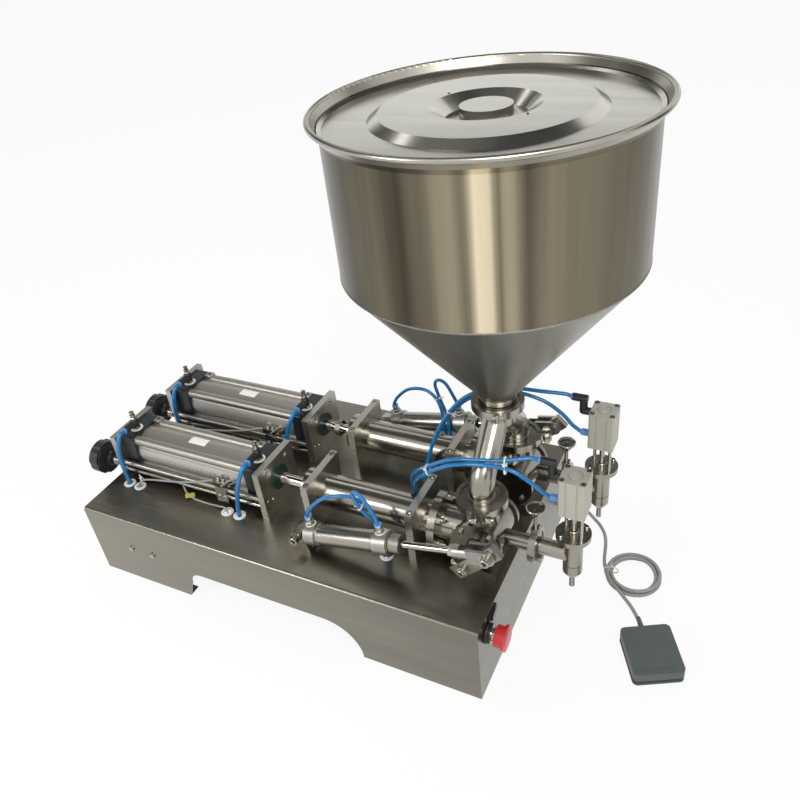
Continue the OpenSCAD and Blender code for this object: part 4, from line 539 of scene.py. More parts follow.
# Cord reliefs: tapered rubber sleeves where the lead leaves the gland and where it
# enters the foot switch, and a white nylon tie round the coil.
def strap(middle, along, side, wide, high):
    """Shapes of a cable tie round tubes: a flat band in an oval, with its lock and cut tail."""
    along = Vector(along).normalized()
    side = Vector(side) - along * along.dot(Vector(side))
    side.normalize()
    up = side.cross(along)
    points, faces = [], []
    for k in range(28):
        a = 2 * pi * k / 28
        for t, b in ((-1.2, 0), (1.2, 0), (1.2, 0.9), (-1.2, 0.9)):
            points.append(Vector(middle) + side * (wide + b) * cos(a) + up * (high + b) * sin(a) + along * t)
    for k in range(28):
        for i in range(4):
            here, there, j = k * 4, (k + 1) % 28 * 4, (i + 1) % 4
            faces.append((here + i, here + j, there + j, there + i))
    lock = slab(box(4.2, 4), 3.2, Vector(middle) + up * high, side, along, 0.5)
    tail = slab(box(1, 2), 7, Vector(middle) + up * (high + 1) + side * 1.2, side, along, 0.2)
    return [(points, faces), lock, tail]


sleeve = worn("relief_rubber", (0.03, 0.032, 0.034), 0.6, 0, ((300, 2), 0.8, 1.3), slot="black_plastic")
tube("gland_relief", [smooth([(205, -15.5, 25), (205, -22, 25), (205, -28, 24.5), (206, -38, 21)], 5)[:15]],
    9.4, sleeve, swell=(1, 0.76))
dark_relief = worn("switch_rubber", (0.09, 0.1, 0.1), 0.6, 0, ((300, 2), 0.8, 1.3), slot="grey_plastic")
tube("switch_relief", [[foot_exit - foot_way * 1, foot_exit + foot_way * 8, foot_exit + foot_way * 16,
    foot_exit + foot_way * 22]], 9.2, dark_relief, swell=(1, 0.76))
coil_edge = radians(96)
make("cord_tie", strap((COIL_X + 38 * cos(coil_edge), COIL_Y + 38 * sin(coil_edge), 7.2),
    (-sin(coil_edge), cos(coil_edge), 0), (cos(coil_edge), sin(coil_edge), 0), 11.2, 6.3), nylon)

# Foot switch: a fine-grained grey moulding, hinged at the cord end, over a base plate.
switch_grey = worn("switch_grey", (0.088, 0.102, 0.104), 0.5, 0, ((40, 4), 0.88, 1.1),
    grain=((1500, 3), 0.35, 0.0002), Specular_IOR_Level=0.4, slot="grey_plastic")
dress(switch_grey, "foot_switch_base", "foot_switch_treadle")
chamfer(1.6, 3, "foot_switch_treadle")


def foot(a, b, z):
    """A place on the foot switch: across it, along it and up."""
    turned = Matrix.Rotation(FOOT_TURN, 2) @ Vector((a, b))
    return FOOT_AT[0] + turned.x, FOOT_AT[1] + turned.y, z


foot_u = Vector((cos(FOOT_TURN), sin(FOOT_TURN), 0))
ribs = [slab(box(52, 0.9), 0.7, foot(0, -37.5 + 2.2 * k, 23.6), foot_u, foot_way, 0.2) for k in range(3)]
ribs += [slab(box(34, 0.7), 0.5, foot(0, 8, 23.7), foot_u, foot_way, 0.15)]
make("treadle_ribs", ribs, switch_grey, "foot_treadle")
make("switch_feet", [lathe([(0, 5), (0.8, 5.6), (1.6, 5.6)], foot(a, b, 0), UP, 24) for a in (-28, 28)
    for b in (-34, 34)], sleeve)

# Drive cylinders: clear anodised end plates and profile tubes, black anodised heads,
# and a green ring round each rod gland.
plate_alloy = worn("plate_alloy", (0.49, 0.475, 0.425), 0.4, 1, ((14, 4, (1, 1, 3), 0.6), 0.75, 1.2),
    ((200, 3, (0.05, 1, 1), 0.6), 0.18, 0.26), ((900, 2, (0.03, 1, 1), 0.6), 0.12, 0.0002))
tube_alloy = worn("tube_alloy", (0.4, 0.385, 0.34), 0.42, 1, ((40, 3, (1, 0.03, 1), 0.6), 0.88, 1.08),
    ((120, 2, (1, 0.03, 1), 0.6), 0.1, 0.38), slot="aluminium")
black_alloy = worn("black_alloy", (0.02, 0.024, 0.028), 0.36, 0.35, ((60, 4), 0.7, 1.5),
    grain=((900, 3), 0.15, 0.0002), slot="black_alloy")
green_ring = worn("green_ring", (0.006, 0.036, 0.03), 0.35, 0, ((150, 2), 0.7, 1.3))
dress(plate_alloy, "drive_rear_plates", "drive_front_plates")
dress(tube_alloy, "drive_barrels")
dress(black_alloy, "drive_heads")
dress(green_ring, "rod_gland_rings")
chamfer(0.8, 1, "drive_rear_plates", "drive_front_plates")
chamfer(0.8, 2, "drive_heads")
white_label = worn("white_label", (0.74, 0.74, 0.72), 0.35, 0, ((200, 2), 0.94, 1.05))
# The rulers are printed on satin foil: a short tick each 5 mm and a long one each 10.
ruler = Finish("scale_ruler", (0.5, 0.49, 0.45), 0.35, 0.7)
along_tube = (ruler.axis(1) - (front_y + 462 * MM)) / MM
height = ruler.axis(2) / MM
short_tick = ((along_tube % 5) < 0.8) * (abs(height - 203.6) < 1.5)
long_tick = ((along_tube % 10) < 1.2) * (abs(height - 202.6) < 2.8)
figure_width = abs(along_tube % 10 - 0.6) < 1.5
figures = figure_width * (abs(height - 207.4) < 1) * (ruler.noise(900, 1) > 0.47)
ink = short_tick.math("MAXIMUM", long_tick).math("MAXIMUM", figures)
ruler.set("Base Color", ink.mix((*ruler.color[:3], 1), (0.06, 0.06, 0.06, 1)))
ruler.set("Roughness", ruler.noise(120) * 0.3 + 0.28)
dress(ruler, "scale_rulers")
dress_part(white_label, "scale_rulers", lambda x, y, z: z > 235)
AXIS_Z = 205
SIDES = (("left", -1, -HEAD_X), ("right", 1, HEAD_X))
CORNERS = ((-1, -1), (-1, 1), (1, -1), (1, 1))
ridge_ends, ridge_holes, bosses = [], [], []
for _, s, mid in SIDES:
    for y in (690, 460):
        spot = Vector((mid + 27.5, y, 234))
        ridge_ends.append(slab(box(15, 14), 9.6, spot, RIGHT, BACK, 1.6))
        ridge_holes.append(lathe([(0, 3.1), (0.15, 3.1), (0.15, 2.2), (-1.5, 2), (-1.5, 0.1)],
            spot + UP * 9.7, UP, 24))
    for y, way in ((456.1, BACK), (696.9, -BACK)):
        for i, k in CORNERS:
            bosses.append(lathe([(0, 4.6), (0.8, 4.6), (1.2, 4.2)], (mid + i * 27.5, y, AXIS_Z + k * 27.5),
                way, 24))
make("ridge_ends", ridge_ends, tube_alloy)
make("ridge_holes", ridge_holes, black_plastic)
make("tie_rod_nuts", bosses, nickel)
# Dark joint lines run along the tubes where the tie rod channels meet the round.
make("channel_lines", [slab(box(0.9, 241), 0.5, (mid + i * 20.1, 576.5, 234.05), (1, 0, -i * 0.7), BACK, 0.1)
    for _, s, mid in SIDES for i in (-1, 1)], black_alloy)

# Speed controllers: black push-in elbows on the cylinder heads, on white washers, with
# nickel hexagons, blue release rings and knurled needles, and their 8 mm blue tubes.
ring_blue = worn("release_ring", (0.1, 0.26, 0.62), 0.3, 0, ((200, 2), 0.9, 1.1), slot="blue_tube")
blue_tube = worn("blue_tube", (0.003, 0.17, 0.42), 0.2, 0, ((30, 2), 0.75, 1.15), ((200, 2), 0.15, 0.14),
    Coat_Weight=0.25, Coat_Roughness=0.1, slot="blue_tube")
black_parts, ring_parts, nickel_parts, washer_parts = [], [], [], []
for _, s, mid in SIDES:
    for y in (441, 712):
        base = Vector((mid - 8, y, 242.5))
        washer_parts.append(lathe([(0, 5), (0, 11.5), (0.9, 11.5), (1.2, 11), (1.2, 5)], base, UP, 40, True))
        nickel_parts.append(lathe([(0, 9.2), (3.6, 9.2), (4.4, 8.2)], base + UP, UP, 6))
        black_parts += [lathe([(4.5, 6.4), (5.2, 7), (19.6, 7), (20.6, 6.2), (20.6, 1)], base, UP, 40),
            lathe([(0, 5.4), (6, 6), (24.6, 6), (25.6, 5.4)], base + UP * 13, -RIGHT, 40)]
        ring_parts.append(lathe([(0, 4.1), (0, 5.2), (1.4, 5.2), (1.6, 6.1), (3.4, 6.1), (4, 5.4), (4, 4.1)],
            base + Vector((-25.8, 0, 13)), -RIGHT, 40, True))
        nickel_parts.append(lathe([(20.6, 6.2), (24, 6.2), (24.6, 5.6)], base, UP, 6))
        nickel_parts.append(lathe([(24.4, 3), (26.4, 3), (27, 5.2), (30.2, 5.2), (31, 4.4), (31.4, 2.6),
            (33.4, 2.6), (34, 4.3), (36.2, 4.3), (36.9, 3.2), (36.9, 0.3)], base, UP, 16))
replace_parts(make("speed_controllers", black_parts, black_plastic), "air_fittings")
make("controller_rings", ring_parts, ring_blue)
make("controller_nickel", nickel_parts, nickel)
make("sealing_washers", washer_parts, nylon)


def hose(start, out, stub, route, end):
    """A tube's line: square out of its fitting, along its route and down into its grommet."""
    start, out, end = Vector(start), Vector(out), Vector(end)
    return [start - out * 2, *smooth([start + out * stub, *route, end + UP * stub], 5), end - UP * 1.5]


DECK_Z = 150
drive_fall = ((-48, 254), (-56, 241), (-61, 222), (-62.5, 200), (-61.5, 175), (-60, 158))
drive_tubes = tube("drive_tubes", [hose((mid - 38, start, 255.5), -RIGHT, 4, [(mid + x, y, z)
    for (x, z), y in zip(drive_fall, steps)], (mid - 60, steps[-1], DECK_Z)) for _, s, mid in SIDES
    for start, steps in ((712, (712, 713, 714, 715.5, 717, 718)), (441, (442, 446, 452, 458, 464, 468)))], 8,
    blue_tube, sides=5)
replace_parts(drive_tubes, "drive_air_tubes")

# Dose adjusters: a black moulded lobed knob with a nickel hub and grub screw on a
# plain-drawn steel screw, which turns in the end plates beside its guide rod.
drawn_steel = worn("drawn_steel", (0.42, 0.4, 0.36), 0.22, 1, ((60, 3, (1, 0.02, 1), 0.6), 0.75, 1.12))
threaded = Finish("threaded_steel", (0.38, 0.36, 0.32), 0.28, 1)
THREAD_PITCH = 2
turns = (threaded.axis(1) * (1 / (THREAD_PITCH * MM))).math("FRACT")
threaded.bump(abs(turns - 0.5), 0.6, 0.0006)
threaded.shift(threaded.noise(200), 0.8, 1.1)
knob_black = worn("knob_black", (0.011, 0.012, 0.014), 0.42, 0, ((80, 4), 0.6, 1.7),
    grain=((1300, 3), 0.3, 0.0002), slot="black_plastic")
dress(drawn_steel, "guide_rods")
for side, s, mid in SIDES:
    name = side + "_adjuster"
    dress(knob_black, name)
    dress_part(threaded, name, lambda x, y, z: y < 766)
    chamfer(1, 2, name)
    hub = Vector((mid - 43.5, 0, 186))
    make(side + "_knob_hub", [lathe([(0, 10.5), (0, 11.5), (1, 12.5), (9.2, 12.5), (9.2, 5.2), (0, 5.2)],
        hub + BACK * 757.8, BACK, 40, True), lathe([(0, 13), (0, 15.2), (2.2, 16.5), (4, 16.8), (4, 13)],
        hub + BACK * 789.2, BACK, 48, True)], knob_black, name)
    make(side + "_knob_bolt", [lathe([(0, 6.2), (1.6, 6.2), (2.4, 5.4)], hub + BACK * 784.5, BACK, 6),
        lathe([(0, 2.6), (2.2, 2.6), (2.6, 2)], hub + Vector((0, 762.5, 12.2)), UP, 12),
        lathe([(-1.6, 5.2), (-1.6, 9.6), (0, 9.9), (1.6, 9.6), (1.6, 5.2)], hub + BACK * 749.5, BACK, 24,
        True)], nickel, name)


# Sensor carriages: a bent steel bracket that slides on the guide rod, with a reed
# switch under two nickel nuts. Its lead follows it along the cylinder from the deck.
def bend(line, name, node):
    """Makes a tube into a mesh in a CAD node's place; the tube runs between the machine and a moving body."""
    bpy.context.view_layer.update()
    mesh = bpy.data.meshes.new_from_object(line.evaluated_get(bpy.context.evaluated_depsgraph_get()))
    bent = link(name, mesh)
    bpy.data.objects.remove(line)
    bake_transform(bent)
    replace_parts(bent, node)


bracket_steel = worn("bracket_steel", (0.38, 0.37, 0.33), 0.25, 1, ((120, 3, (1, 1, 0.2), 0.6), 0.75, 1.2))
tag_yellow = worn("tag_yellow", (0.5, 0.41, 0.09), 0.45, 0, ((160, 3), 0.85, 1.08), slot="white_plastic")
for side, s, mid in SIDES:
    name, rides = side + "_sensor_carriage", side + "_carriage"
    dress(bracket_steel, name)
    dress_part(black_plastic, name, lambda x, y, z: 195.1 < z < 203.9)
    chamfer(0.4, 1, name)
    near = Vector((mid - 43.5, 505, 0))
    fittings = []
    for y in (-5.5, 5.5):
        top = near + Vector((0, y, 204))
        fittings += [lathe([(0, 4.6), (0.8, 4.6)], top, UP, 24), lathe([(0.8, 4.3), (3.6, 4.3), (4.2, 3.8)],
            top, UP, 6), lathe([(4, 2.2), (6.4, 2.2), (6.9, 1.7)], top, UP, 20)]
    fittings += [lathe([(0, 3.4), (2.6, 3.4), (3.2, 2.8)], near + Vector((-6.5, y, 176)), -RIGHT, 6)
        for y in (-6, 6)]
    make(side + "_carriage_nuts", fittings, nickel, rides)
    make(side + "_carriage_plate", [slab([(-12, -1), (12, -1), (12, 26), (-5, 32), (-12, 28)], 1.5,
        near + Vector((-6.6, 0, 164)), -BACK, UP, 0.3), slab(box(14, 30), 1.2, near + UP * 203.7, RIGHT, BACK,
        0.3)], bracket_steel, rides)
    loop = [near + Vector(p) for p in ((3, -13, 198), (3, -20, 201), (4, -28, 208), (2, -31, 214),
        (-3, -27, 216), (-6, -18, 212), (-7, -11, 205), (-7.5, -4, 199))]
    tube(side + "_carriage_loop", [smooth(loop, 5)], 2.6, grey_lead, rides, sides=3)
    lead = tube(side + "_carriage_lead", [hose((mid - 43.5, 520, 199.5), BACK, 3.5, [(mid + a, b, c)
        for a, b, c in ((-45, 530, 200), (-51, 548, 196), (-54, 580, 188), (-56, 620, 180), (-57, 655, 174),
        (-59, 680, 168), (-60, 691, 158))], (mid - 60, 693, DECK_Z))], 3.5, grey_lead, None, sides=3)
    bend(lead, side + "_carriage_wire",
        "sensor_leads")
    barrel_lead = [(mid + a, b, c) for a, b, c in ((-31, 618, 165), (-39, 606, 160.5), (-48, 592, 155),
        (-54, 572, 151.9), (-56, 540, 151.9), (-57, 516, 154), (-59, 500, 158), (-60, 495, 155))]
    tube(side + "_barrel_lead", [hose((mid - 27.5, 627, 165.95), -BACK, 3.5, barrel_lead,
        (mid - 60, 494, DECK_Z))], 3.5, grey_lead, sides=3)
    make(side + "_lead_tag", [slab([(-5, -8), (5, -8), (5, 8), (0, 9.5), (-5, 8)], 0.6,
        (mid - 52, 581, 154.6), (0.75, 0.62, 0.25), (-0.6, 0.75, 0.1), 0.15)], tag_yellow)
    make(side + "_lead_tie", strap((mid - 59, 683, 168.5), (-0.1, 1, -0.5), RIGHT, 2.3, 2.3), nylon)
dress(black_plastic, "barrel_sensors")

# Piston rods and product pistons: hard chromed rods, and steel pistons with white
# seals inside the product barrels.
RIGHT_PISTON_BACK = 35
chrome = worn("hard_chrome", (0.46, 0.44, 0.4), 0.1, 1, ((60, 3, (1, 0.06, 1), 0.6), 0.75, 1.12),
    ((200, 2, (1, 0.05, 1), 0.6), 0.1, 0.06))
for side, s, mid in SIDES:
    dress(chrome, side + "_piston_rod", side + "_nozzle_needle", side + "_valve_rotor")
    dress_part(black_alloy, side + "_piston_rod", lambda x, y, z: y > 547
        or hypot(abs(x) - HEAD_X, z - AXIS_Z) > 24)
    dress(polished, side + "_product_piston")
    dress_part(nylon, side + "_product_piston",
        lambda x, y, z: 6 < (y - RIGHT_PISTON_BACK * (x > 0) - 208) % 15 < 11)

# Product barrels: drawn stainless tubes with flanged ends, held by split aluminium
# clamp plates that stand on the deck.
barrel_steel = worn("barrel_steel", (0.31, 0.29, 0.245), 0.2, 1, ((30, 4, (1, 0.06, 1), 0.6), 0.72, 1.2),
    ((80, 3, (1, 0.1, 1), 0.6), 0.12, 0.14), ((900, 2, (1, 0.03, 1), 0.6), 0.05, 0.0001), Anisotropic=0.5,
    Anisotropic_Rotation=0.25)
dress(barrel_steel, "product_barrels")
dress(plate_alloy, "lower_clamps", "upper_clamps")
chamfer(0.6, 1, "lower_clamps", "upper_clamps")
chamfer(0.5, 1, "product_barrels")

# Flange bolts: stainless hexagon bolts, washers and nuts that join valve and product
# barrel over a black gasket.
dress(nickel, "flange_bolts")
washers, gaskets, shanks = [], [], []
for _, s, mid in SIDES:
    gaskets.append(lathe([(-0.6, 43), (-0.6, 44.6), (0.6, 44.6), (0.6, 43)], (mid, 112, AXIS_Z), BACK, 96,
        True))
    for k in range(4):
        a = radians(45 + 90 * k)
        hole = Vector((mid + 37 * cos(a), 0, AXIS_Z + 37 * sin(a)))
        washers += [lathe([(0, 4.2), (0, 8.6), (0.9, 8.6), (0.9, 4.2)], hole + BACK * y, BACK, 32, True)
            for y in (105.05, 118)]
        washers += [lathe([(0, 6.8), (0.5, 7.2), (1.2, 7.2)], hole + BACK * 98.6, BACK, 24)]
        shanks.append(lathe([(0, 3.1), (0.5, 3.9), (1.2, 3.3), (1.9, 3.9), (2.6, 3.3), (3.3, 3.9)],
            hole + BACK * 94.4, BACK, 24))
make("flange_washers", washers, nickel)
make("bolt_threads", shanks, bracket_steel)
make("flange_gaskets", gaskets, sleeve)


# Rotary valves: polished bodies with a ground cover on each side, held by four cap
# screws over a black seal, on stands of the base's sheet.
def hexagon(across):
    """Corners of a hexagon of this width across its flats."""
    return [(across / 1.732 * cos(radians(60 * k)), across / 1.732 * sin(radians(60 * k))) for k in range(6)]


cover_steel = worn("cover_steel", (0.26, 0.25, 0.22), 0.24, 1, ((60, 4, (1, 0.15, 1), 0.6), 0.7, 1.25),
    ((200, 3, (1, 0.1, 1), 0.6), 0.14, 0.17))
valve_steel = worn("valve_steel", (0.34, 0.32, 0.28), 0.16, 1, ((26, 4), 0.62, 1.2), ((120, 3), 0.14, 0.14))
dress(valve_steel, "valve_bodies")
dress(cover_steel, "valve_covers")
dress_part(nickel, "valve_covers", lambda x, y, z: abs(abs(x) - 71) > 41.2)
dress(sheet_steel, "valve_stands", "actuator_brackets")
chamfer(0.6, 1, "valve_covers", "valve_bodies")
socket_shades, valve_trim = [], []
for _, s, mid in SIDES:
    for x, out in ((s * 116, s), (s * 26, -s)):
        for k in range(4):
            a = radians(45 + 90 * k)
            head = Vector((x, VALVE_Y + 31 * cos(a), AXIS_Z + 31 * sin(a)))
            # Painted shade: a thin dark hexagon on the cover stands for each cap screw's socket.
            socket_shades.append(slab(hexagon(4.2), 0.12, head - RIGHT * out * 1.9, BACK, UP * out, 0.03))
    valve_trim += [lathe([(-0.5, 35.5), (-0.5, 38.6), (0.5, 38.6), (0.5, 35.5)], (x, VALVE_Y, AXIS_Z), RIGHT,
        80, True) for x in (s * 106.4, s * 35.6)]
    valve_trim += [lathe([(0, 9), (0, 13.5), (0.8, 14), (2.2, 14), (3, 13), (3, 9)],
        (s * 112, VALVE_Y, AXIS_Z), RIGHT * s, 40, True)]
make("cover_socket_shades", socket_shades, black_alloy)
make("cover_joints", valve_trim, sleeve)

# Cranks: flat forged arms clamped on the rotor shafts by a cap screw, with a second
# screw in the shaft's end.
forged = worn("forged_steel", (0.33, 0.31, 0.27), 0.3, 1, ((70, 4), 0.7, 1.18),
    grain=((600, 3), 0.15, 0.0002))


def cap_screw(place, axis, across, high):
    """A socket head cap screw: its head and, apart, a dark hexagon in its shallow socket, painted shade for
    the socket's depth.
    """
    axis = Vector(axis).normalized()
    side = axis.orthogonal().normalized()
    r = across / 2
    head = lathe([(0, r), (high - 0.5, r), (high, r - 0.5), (high, r * 0.62), (high - 1.2, r * 0.55),
        (high - 1.2, 0.2)], place, axis, 28)
    return head, slab(hexagon(across * 0.56), 0.1, Vector(place) + axis * (high - 1.15), side,
        axis.cross(side), 0.02)


for side, s, mid in SIDES:
    dress(forged, side + "_crank")
    chamfer(1.2, 2, side + "_crank")
    out = RIGHT * s
    shaft = Vector((s * 155, VALVE_Y, AXIS_Z))
    arm = Vector((0, -0.7071, 0.7071))
    over = Vector((0, 0.7071, 0.7071))
    head, hole = cap_screw(shaft - arm * 9 + over * 12 - out, over, 9, 5.5)
    low, low_socket_shade = cap_screw(shaft + out * 11, out, 11, 4)
    make(side + "_crank_screws", [head, low, lathe([(0, 7.2), (1, 7.2), (1.2, 6.9)], shaft + out * 10.9, out,
        32), slab(box(1.2, 16), 0.15, shaft - arm * 11 + out * 5.05, over, -s * arm, 0.02)], nickel,
        side + "_valve")
    # The dark hexagons in the crank screws are painted shade in their sockets.
    make(side + "_crank_socket_shades", [hole, low_socket_shade], black_alloy, side + "_valve")

# Valve actuators: satin stainless barrels crimped to round caps with two flats, a
# threaded nose, and a matte cast rod end. They swing on the pins of their brackets.
barrel_satin = worn("actuator_satin", (0.38, 0.365, 0.32), 0.26, 1, ((40, 4, (1, 0.08, 1), 0.6), 0.75, 1.15),
    ((120, 3, (1, 0.1, 1), 0.6), 0.12, 0.19), Anisotropic=0.4, Anisotropic_Rotation=0.25)
cap_cast = worn("cast_cap", (0.41, 0.4, 0.36), 0.38, 1, ((120, 4), 0.75, 1.15), grain=((700, 3), 0.2, 0.0003))
TILT = radians(11.5686)
FORWARD = Vector((0, -cos(TILT), sin(TILT)))
ABOVE = Vector((0, sin(TILT), cos(TILT)))
act_routes = ((28, 190.2, ((-155, 296, 240), (-151, 270, 264), (-145, 236, 274), (-139, 212, 265),
    (-134, 200.5, 243), (-129.5, 196, 215), (-130.5, 191, 180))),
    (158, 183.8, ((-154, 184, 262), (-154, 198, 288), (-152, 211, 295), (-150, 217, 285), (-148, 209, 259),
    (-139.5, 194, 232), (-131, 187.5, 212), (-130.5, 184.2, 190), (-131, 183.8, 172))))
for side, s, mid in SIDES:
    body, barrel, rod = (side + name for name in ("_actuator", "_actuator_barrel", "_actuator_rod"))
    dress(barrel_satin, barrel)
    out = RIGHT * s
    pivot = Vector((s * 155, 326, 178))
    pin_at = pivot + FORWARD * 328.57
    dress_part(cap_cast, barrel, lambda *p: not 38.2 < (Vector(p) - pivot).dot(FORWARD) < 145.8)
    dress_part(nickel, barrel, lambda *p: (Vector(p) - pivot).dot(ABOVE) > 20.5)
    chamfer(0.7, 2, barrel)
    trim, rings, white_rings = [], [], []
    for along_s in (28, 158):
        port = pivot + FORWARD * along_s
        white_rings.append(lathe([(0, 5), (0, 8.4), (0.8, 8.8), (1.6, 8.4), (1.6, 5)], port + ABOVE * 19.8,
            ABOVE, 40, True))
        trim += [lathe([(0, 7.9), (4.8, 7.9), (5.6, 7.1)], port + ABOVE * 21.4, ABOVE, 6),
            lathe([(0, 5.4), (6.2, 5.6), (7, 5)], port + ABOVE * 26.6, ABOVE, 32)]
        rings.append(lathe([(0, 3.1), (0, 4.9), (0.8, 5.9), (2.4, 5.9), (3, 5.2), (3, 3.1)],
            port + ABOVE * 33.4, ABOVE, 32, True))
    trim += [lathe([(-0.7, 16.8), (0, 17.6), (0.7, 16.8)], pivot + FORWARD * a, FORWARD, 64, True)
        for a in (38.4, 41.2, 142.6, 145.4)]
    trim += [lathe([(-0.6, 14), (0, 14.7), (0.6, 14)], pivot + FORWARD * (172 + 1.6 * k), FORWARD, 48, True)
        for k in range(10)]
    trim += [lathe([(-0.6, 16), (-0.6, 18.6), (0.6, 18.6), (0.6, 16)], pivot + FORWARD * a, FORWARD, 8, True)
        for a in (18.6, 171)]
    make(side + "_actuator_trim", trim, cap_cast, body)
    make(side + "_actuator_washers", white_rings, nylon, body)
    make(side + "_actuator_rings", rings, ring_blue, body)
    make(side + "_actuator_wiper", [lathe([(-0.1, 9.4), (0.5, 9.4), (0.5, 6.4), (-0.1, 6.4)],
        pivot + FORWARD * 188, FORWARD, 40, True)], sleeve, body)
    bolt, socket = cap_screw(pivot + out * 18.5, out, 15, 7)
    make(side + "_bracket_bolt", [bolt, lathe([(0, 9), (1.2, 9)], pivot + out * 13.6, out, 32),
        lathe([(0, 8.2), (6, 8.2), (6.6, 7.4)], pivot - out * 18.6, -out, 6)], nickel)
    # The dark hexagon in the bracket bolt is painted shade in its socket.
    make(side + "_bracket_socket_shade", [socket], black_alloy)
    dress(chrome, rod)
    dress_part(cap_cast, rod, lambda x, y, z: y < 69.7)
    chamfer(0.9, 2, rod)
    pin, pin_socket_shade = cap_screw(pin_at + out * 10.6, out, 14, 9)
    make(side + "_fork_pin", [pin, lathe([(0, 9.6), (1.2, 9.6)], pin_at + out * 10.4, out, 32)], nickel, rod)
    # The dark hexagon in the fork pin is painted shade in its socket.
    make(side + "_fork_socket_shade", [pin_socket_shade], black_alloy, rod)
    lines = []
    for along_s, end, route in act_routes:
        port = pivot + FORWARD * along_s + ABOVE * 34
        lines.append(hose(port, ABOVE, 6, [(-s * p[0], p[1], p[2]) for p in route], (s * 131, end, DECK_Z)))
    coarse = tube(side + "_actuator_lines", lines, 6, blue_tube, None, sides=5)
    bend(coarse, side + "_actuator_tubes", "actuator_air_tubes")
    bound = make(side + "_actuator_tie", strap((s * 143.5, 210.5, 262), (s * 0.25, 0.35, 0.9),
        (s * 9, -3, -6), 8.6, 3.4), nylon, None)
    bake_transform(bound)

# Outlet clamps: cast rings on the outlet pipes, hinged below and drawn together on top
# by dished hand nuts.
dress(valve_steel, "outlet_clamps")
chamfer(0.5, 1, "outlet_clamps")
dishes, floors, toggles = [], [], []
for _, s, mid in SIDES:
    top = Vector((mid, -38, 275))
    dishes.append(lathe([(-1.4, 11.9), (0, 13.2), (2.8, 14.2), (3.6, 13.6), (3.2, 12.2), (0.3, 10.6),
        (-1.4, 10.6)], top, UP, 48, True))
    floors.append(lathe([(0.05, 11), (0.45, 10.6), (0.6, 3.5), (1.8, 3.2), (2, 0.2)], top, UP, 40))
    toggles += [lathe([(-7, 2.4), (-6.4, 3.1), (6.4, 3.1), (7, 2.4)], (mid, -38, 234), BACK, 20),
        lathe([(-6.5, 3.4), (-6, 4.2), (6, 4.2), (6.5, 3.4)], (mid, -38, 176.5), BACK, 24)]
    toggles += [slab(box(11, 9), 7, (mid, -42, 179), RIGHT, UP, 1.2)]
make("hand_nut_rims", dishes, valve_steel)
make("hand_nut_floors", floors, cover_steel)
make("outlet_hinges", toggles, nickel)

# Nozzles: turned bodies welded to the outlet pipes, with a screwed disc on top and a cap
# below. Two posts on one diagonal carry the square cylinder that lifts the needle.
nozzle_steel = worn("nozzle_steel", (0.36, 0.34, 0.29), 0.24, 1, ((60, 4, (1, 1, 0.12), 0.6), 0.72, 1.2),
    ((160, 3, (1, 1, 0.1), 0.6), 0.14, 0.17))
anodised = worn("clear_anodised", (0.43, 0.42, 0.36), 0.42, 0.25, ((50, 4, (1, 1, 0.15), 0.6), 0.88, 1.06),
    grain=((1200, 2, (1, 1, 0.2)), 0.12, 0.0001), Specular_IOR_Level=0.4, slot="aluminium")
dress(nozzle_steel, "nozzle_bodies")
chamfer(0.6, 1, "nozzle_bodies")
dress(anodised, "nozzle_cylinders")
dress_part(chrome, "nozzle_cylinders", lambda x, y, z: z < 290.9)
dress_part(black_plastic, "nozzle_cylinders", lambda x, y, z: z > 338 and y > -73.9)
dress_part(ring_blue, "nozzle_cylinders", lambda x, y, z: z < 338 and y > -73.9)
chamfer(0.5, 2, "nozzle_cylinders")
recess_shades, steel_bits, tube_rings, seams, bosses = [], [], [], [], []
for _, s, mid in SIDES:
    axis = Vector((mid, -93, 0))
    for i, k in CORNERS:
        spot = axis + Vector((i * 14.5, k * 14.5, 354))
        # Painted shade: a flat dark disc round each corner screw stands for its recess.
        recess_shades.append(lathe([(0, 3.6), (0.15, 3.6), (0.15, 0.2)], spot, UP, 28))
        steel_bits.append(lathe([(0.1, 2.7), (0.35, 2.7), (0.35, 1.5), (0.2, 1.4)], spot, UP, 24, True))
        foot_spot = axis + Vector((i * 14.5, k * 14.5, 247.9))
        if i == k:
            steel_bits.append(lathe([(0, 3.6), (1.2, 3.6), (1.2, 2.4)], foot_spot, UP, 20))
        else:
            # The cap screw's dark hexagon is painted shade in its socket too.
            head, hole = cap_screw(foot_spot, UP, 6.5, 4)
            steel_bits.append(head)
            recess_shades.append(hole)
    bosses += [lathe([(0, 5.6), (0.5, 5.2), (0.5, 0.2)], axis + UP * 353, UP, 32),
        lathe([(0, 8.8), (0.35, 8.6), (0.35, 7.8), (0, 7.6)], axis + UP * 353, UP, 48, True)]
    steel_bits += [lathe([(0, 5), (0, 6.6), (1.6, 7.2), (2.2, 6.6), (2.2, 5)], axis + UP * 251.6, UP, 32,
        True), lathe([(-1.2, 13.9), (-0.5, 15.2), (0.6, 15.2), (1.3, 13.9)], axis + UP * 239, UP, 48, True)]
    seams.append(lathe([(-0.4, 10), (-0.4, 14.15), (0.4, 14.15), (0.4, 10)], axis + UP * 190, UP, 48, True))
    tube_rings += [lathe([(-0.4, 3.2), (-0.4, 5), (2.8, 5.2), (3.2, 4.2), (3.2, 3.2)], (mid, -46, 367), BACK,
        32, True), lathe([(-0.4, 3.2), (-0.4, 4.9), (2, 5.2), (2.6, 4.2), (2.6, 3.2)], (mid, -62, 305), BACK,
        32, True)]
make("nozzle_recess_shades", recess_shades, black_alloy)
make("nozzle_fittings", steel_bits, nickel)
make("nozzle_cap_rings", bosses, anodised)
make("nozzle_seams", seams, sleeve)
make("nozzle_release_rings", tube_rings, ring_blue)

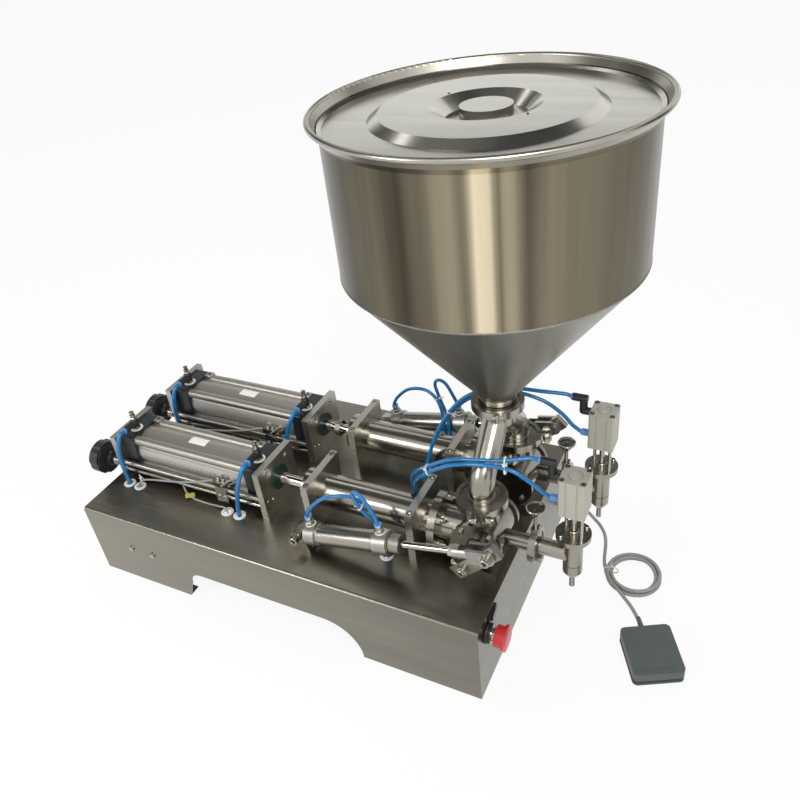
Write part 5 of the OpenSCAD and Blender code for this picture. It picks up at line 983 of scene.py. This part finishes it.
# Nozzle air tubes: four 6 mm polyurethane tubes, tied in pairs with white nylon ties,
# from the nozzle cylinders over the feed pipes to two grommets in the deck.
left_top = [(-77, -30, 366), (-79, 10, 352), (-80, 48, 344), (-79, 88, 332), (-77, 128, 306), (-70, 154, 282),
    (-55, 168, 250), (-42, 172, 210)]
left_low = [(-79, -48, 312), (-83, -30, 330), (-86, -4, 345), (-87, 40, 343), (-86, 86, 328), (-84, 122, 303),
    (-77, 147, 277), (-60, 161, 246), (-44, 165, 206)]
right_top = [(74, -34, 371), (66, 0, 374), (62, 40, 374), (61, 80, 366), (58, 118, 344), (50, 142, 318),
    (38, 162, 282), (27, 175, 240), (19, 181, 195)]
right_low = [(77, -46, 314), (76, -30, 332), (73, -2, 352), (69, 40, 362), (68, 82, 355), (65, 120, 333),
    (57, 146, 306), (44, 166, 270), (32, 180, 230), (23, 187, 190)]
nozzle_lines = tube("nozzle_tubes", [hose((-HEAD_X, -46, 367), BACK, 3, left_top, (-38, 175.2, DECK_Z)),
    hose((-HEAD_X, -62, 305), BACK, 3, left_low, (-38, 168.8, DECK_Z)), hose((HEAD_X, -46, 367), BACK, 3,
    right_top, (15, 178.8, DECK_Z)), hose((HEAD_X, -62, 305), BACK, 3, right_low, (15, 185.2, DECK_Z))], 6,
    blue_tube, sides=5)
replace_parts(nozzle_lines, "nozzle_air_tubes")


def bind(name, one, other, way):
    """A nylon tie round two tubes whose centres are these two places."""
    one, other = Vector(one), Vector(other)
    return make(name, strap((one + other) / 2, way, one - other, (one - other).length / 2 + 3.3, 3.5), nylon)


bind("left_tube_tie", left_top[4], left_low[5], (0.12, 0.75, -0.65))
bind("left_front_tie", left_top[1], left_low[2], (0, 1, -0.2))
bind("right_tube_tie", right_top[5], right_low[6], (-0.3, 0.6, -0.75))
bind("right_front_tie", right_top[2], right_low[3], BACK)

# Edges: CAD faces shade smooth, but for real edges.
for piece in nodes.values():
    piece.data.polygons.foreach_set("use_smooth", [True] * len(piece.data.polygons))
    piece.modifiers.new("true_edges", "EDGE_SPLIT").split_angle = radians(12 if piece == nodes["hopper_lid"]
        else 28)
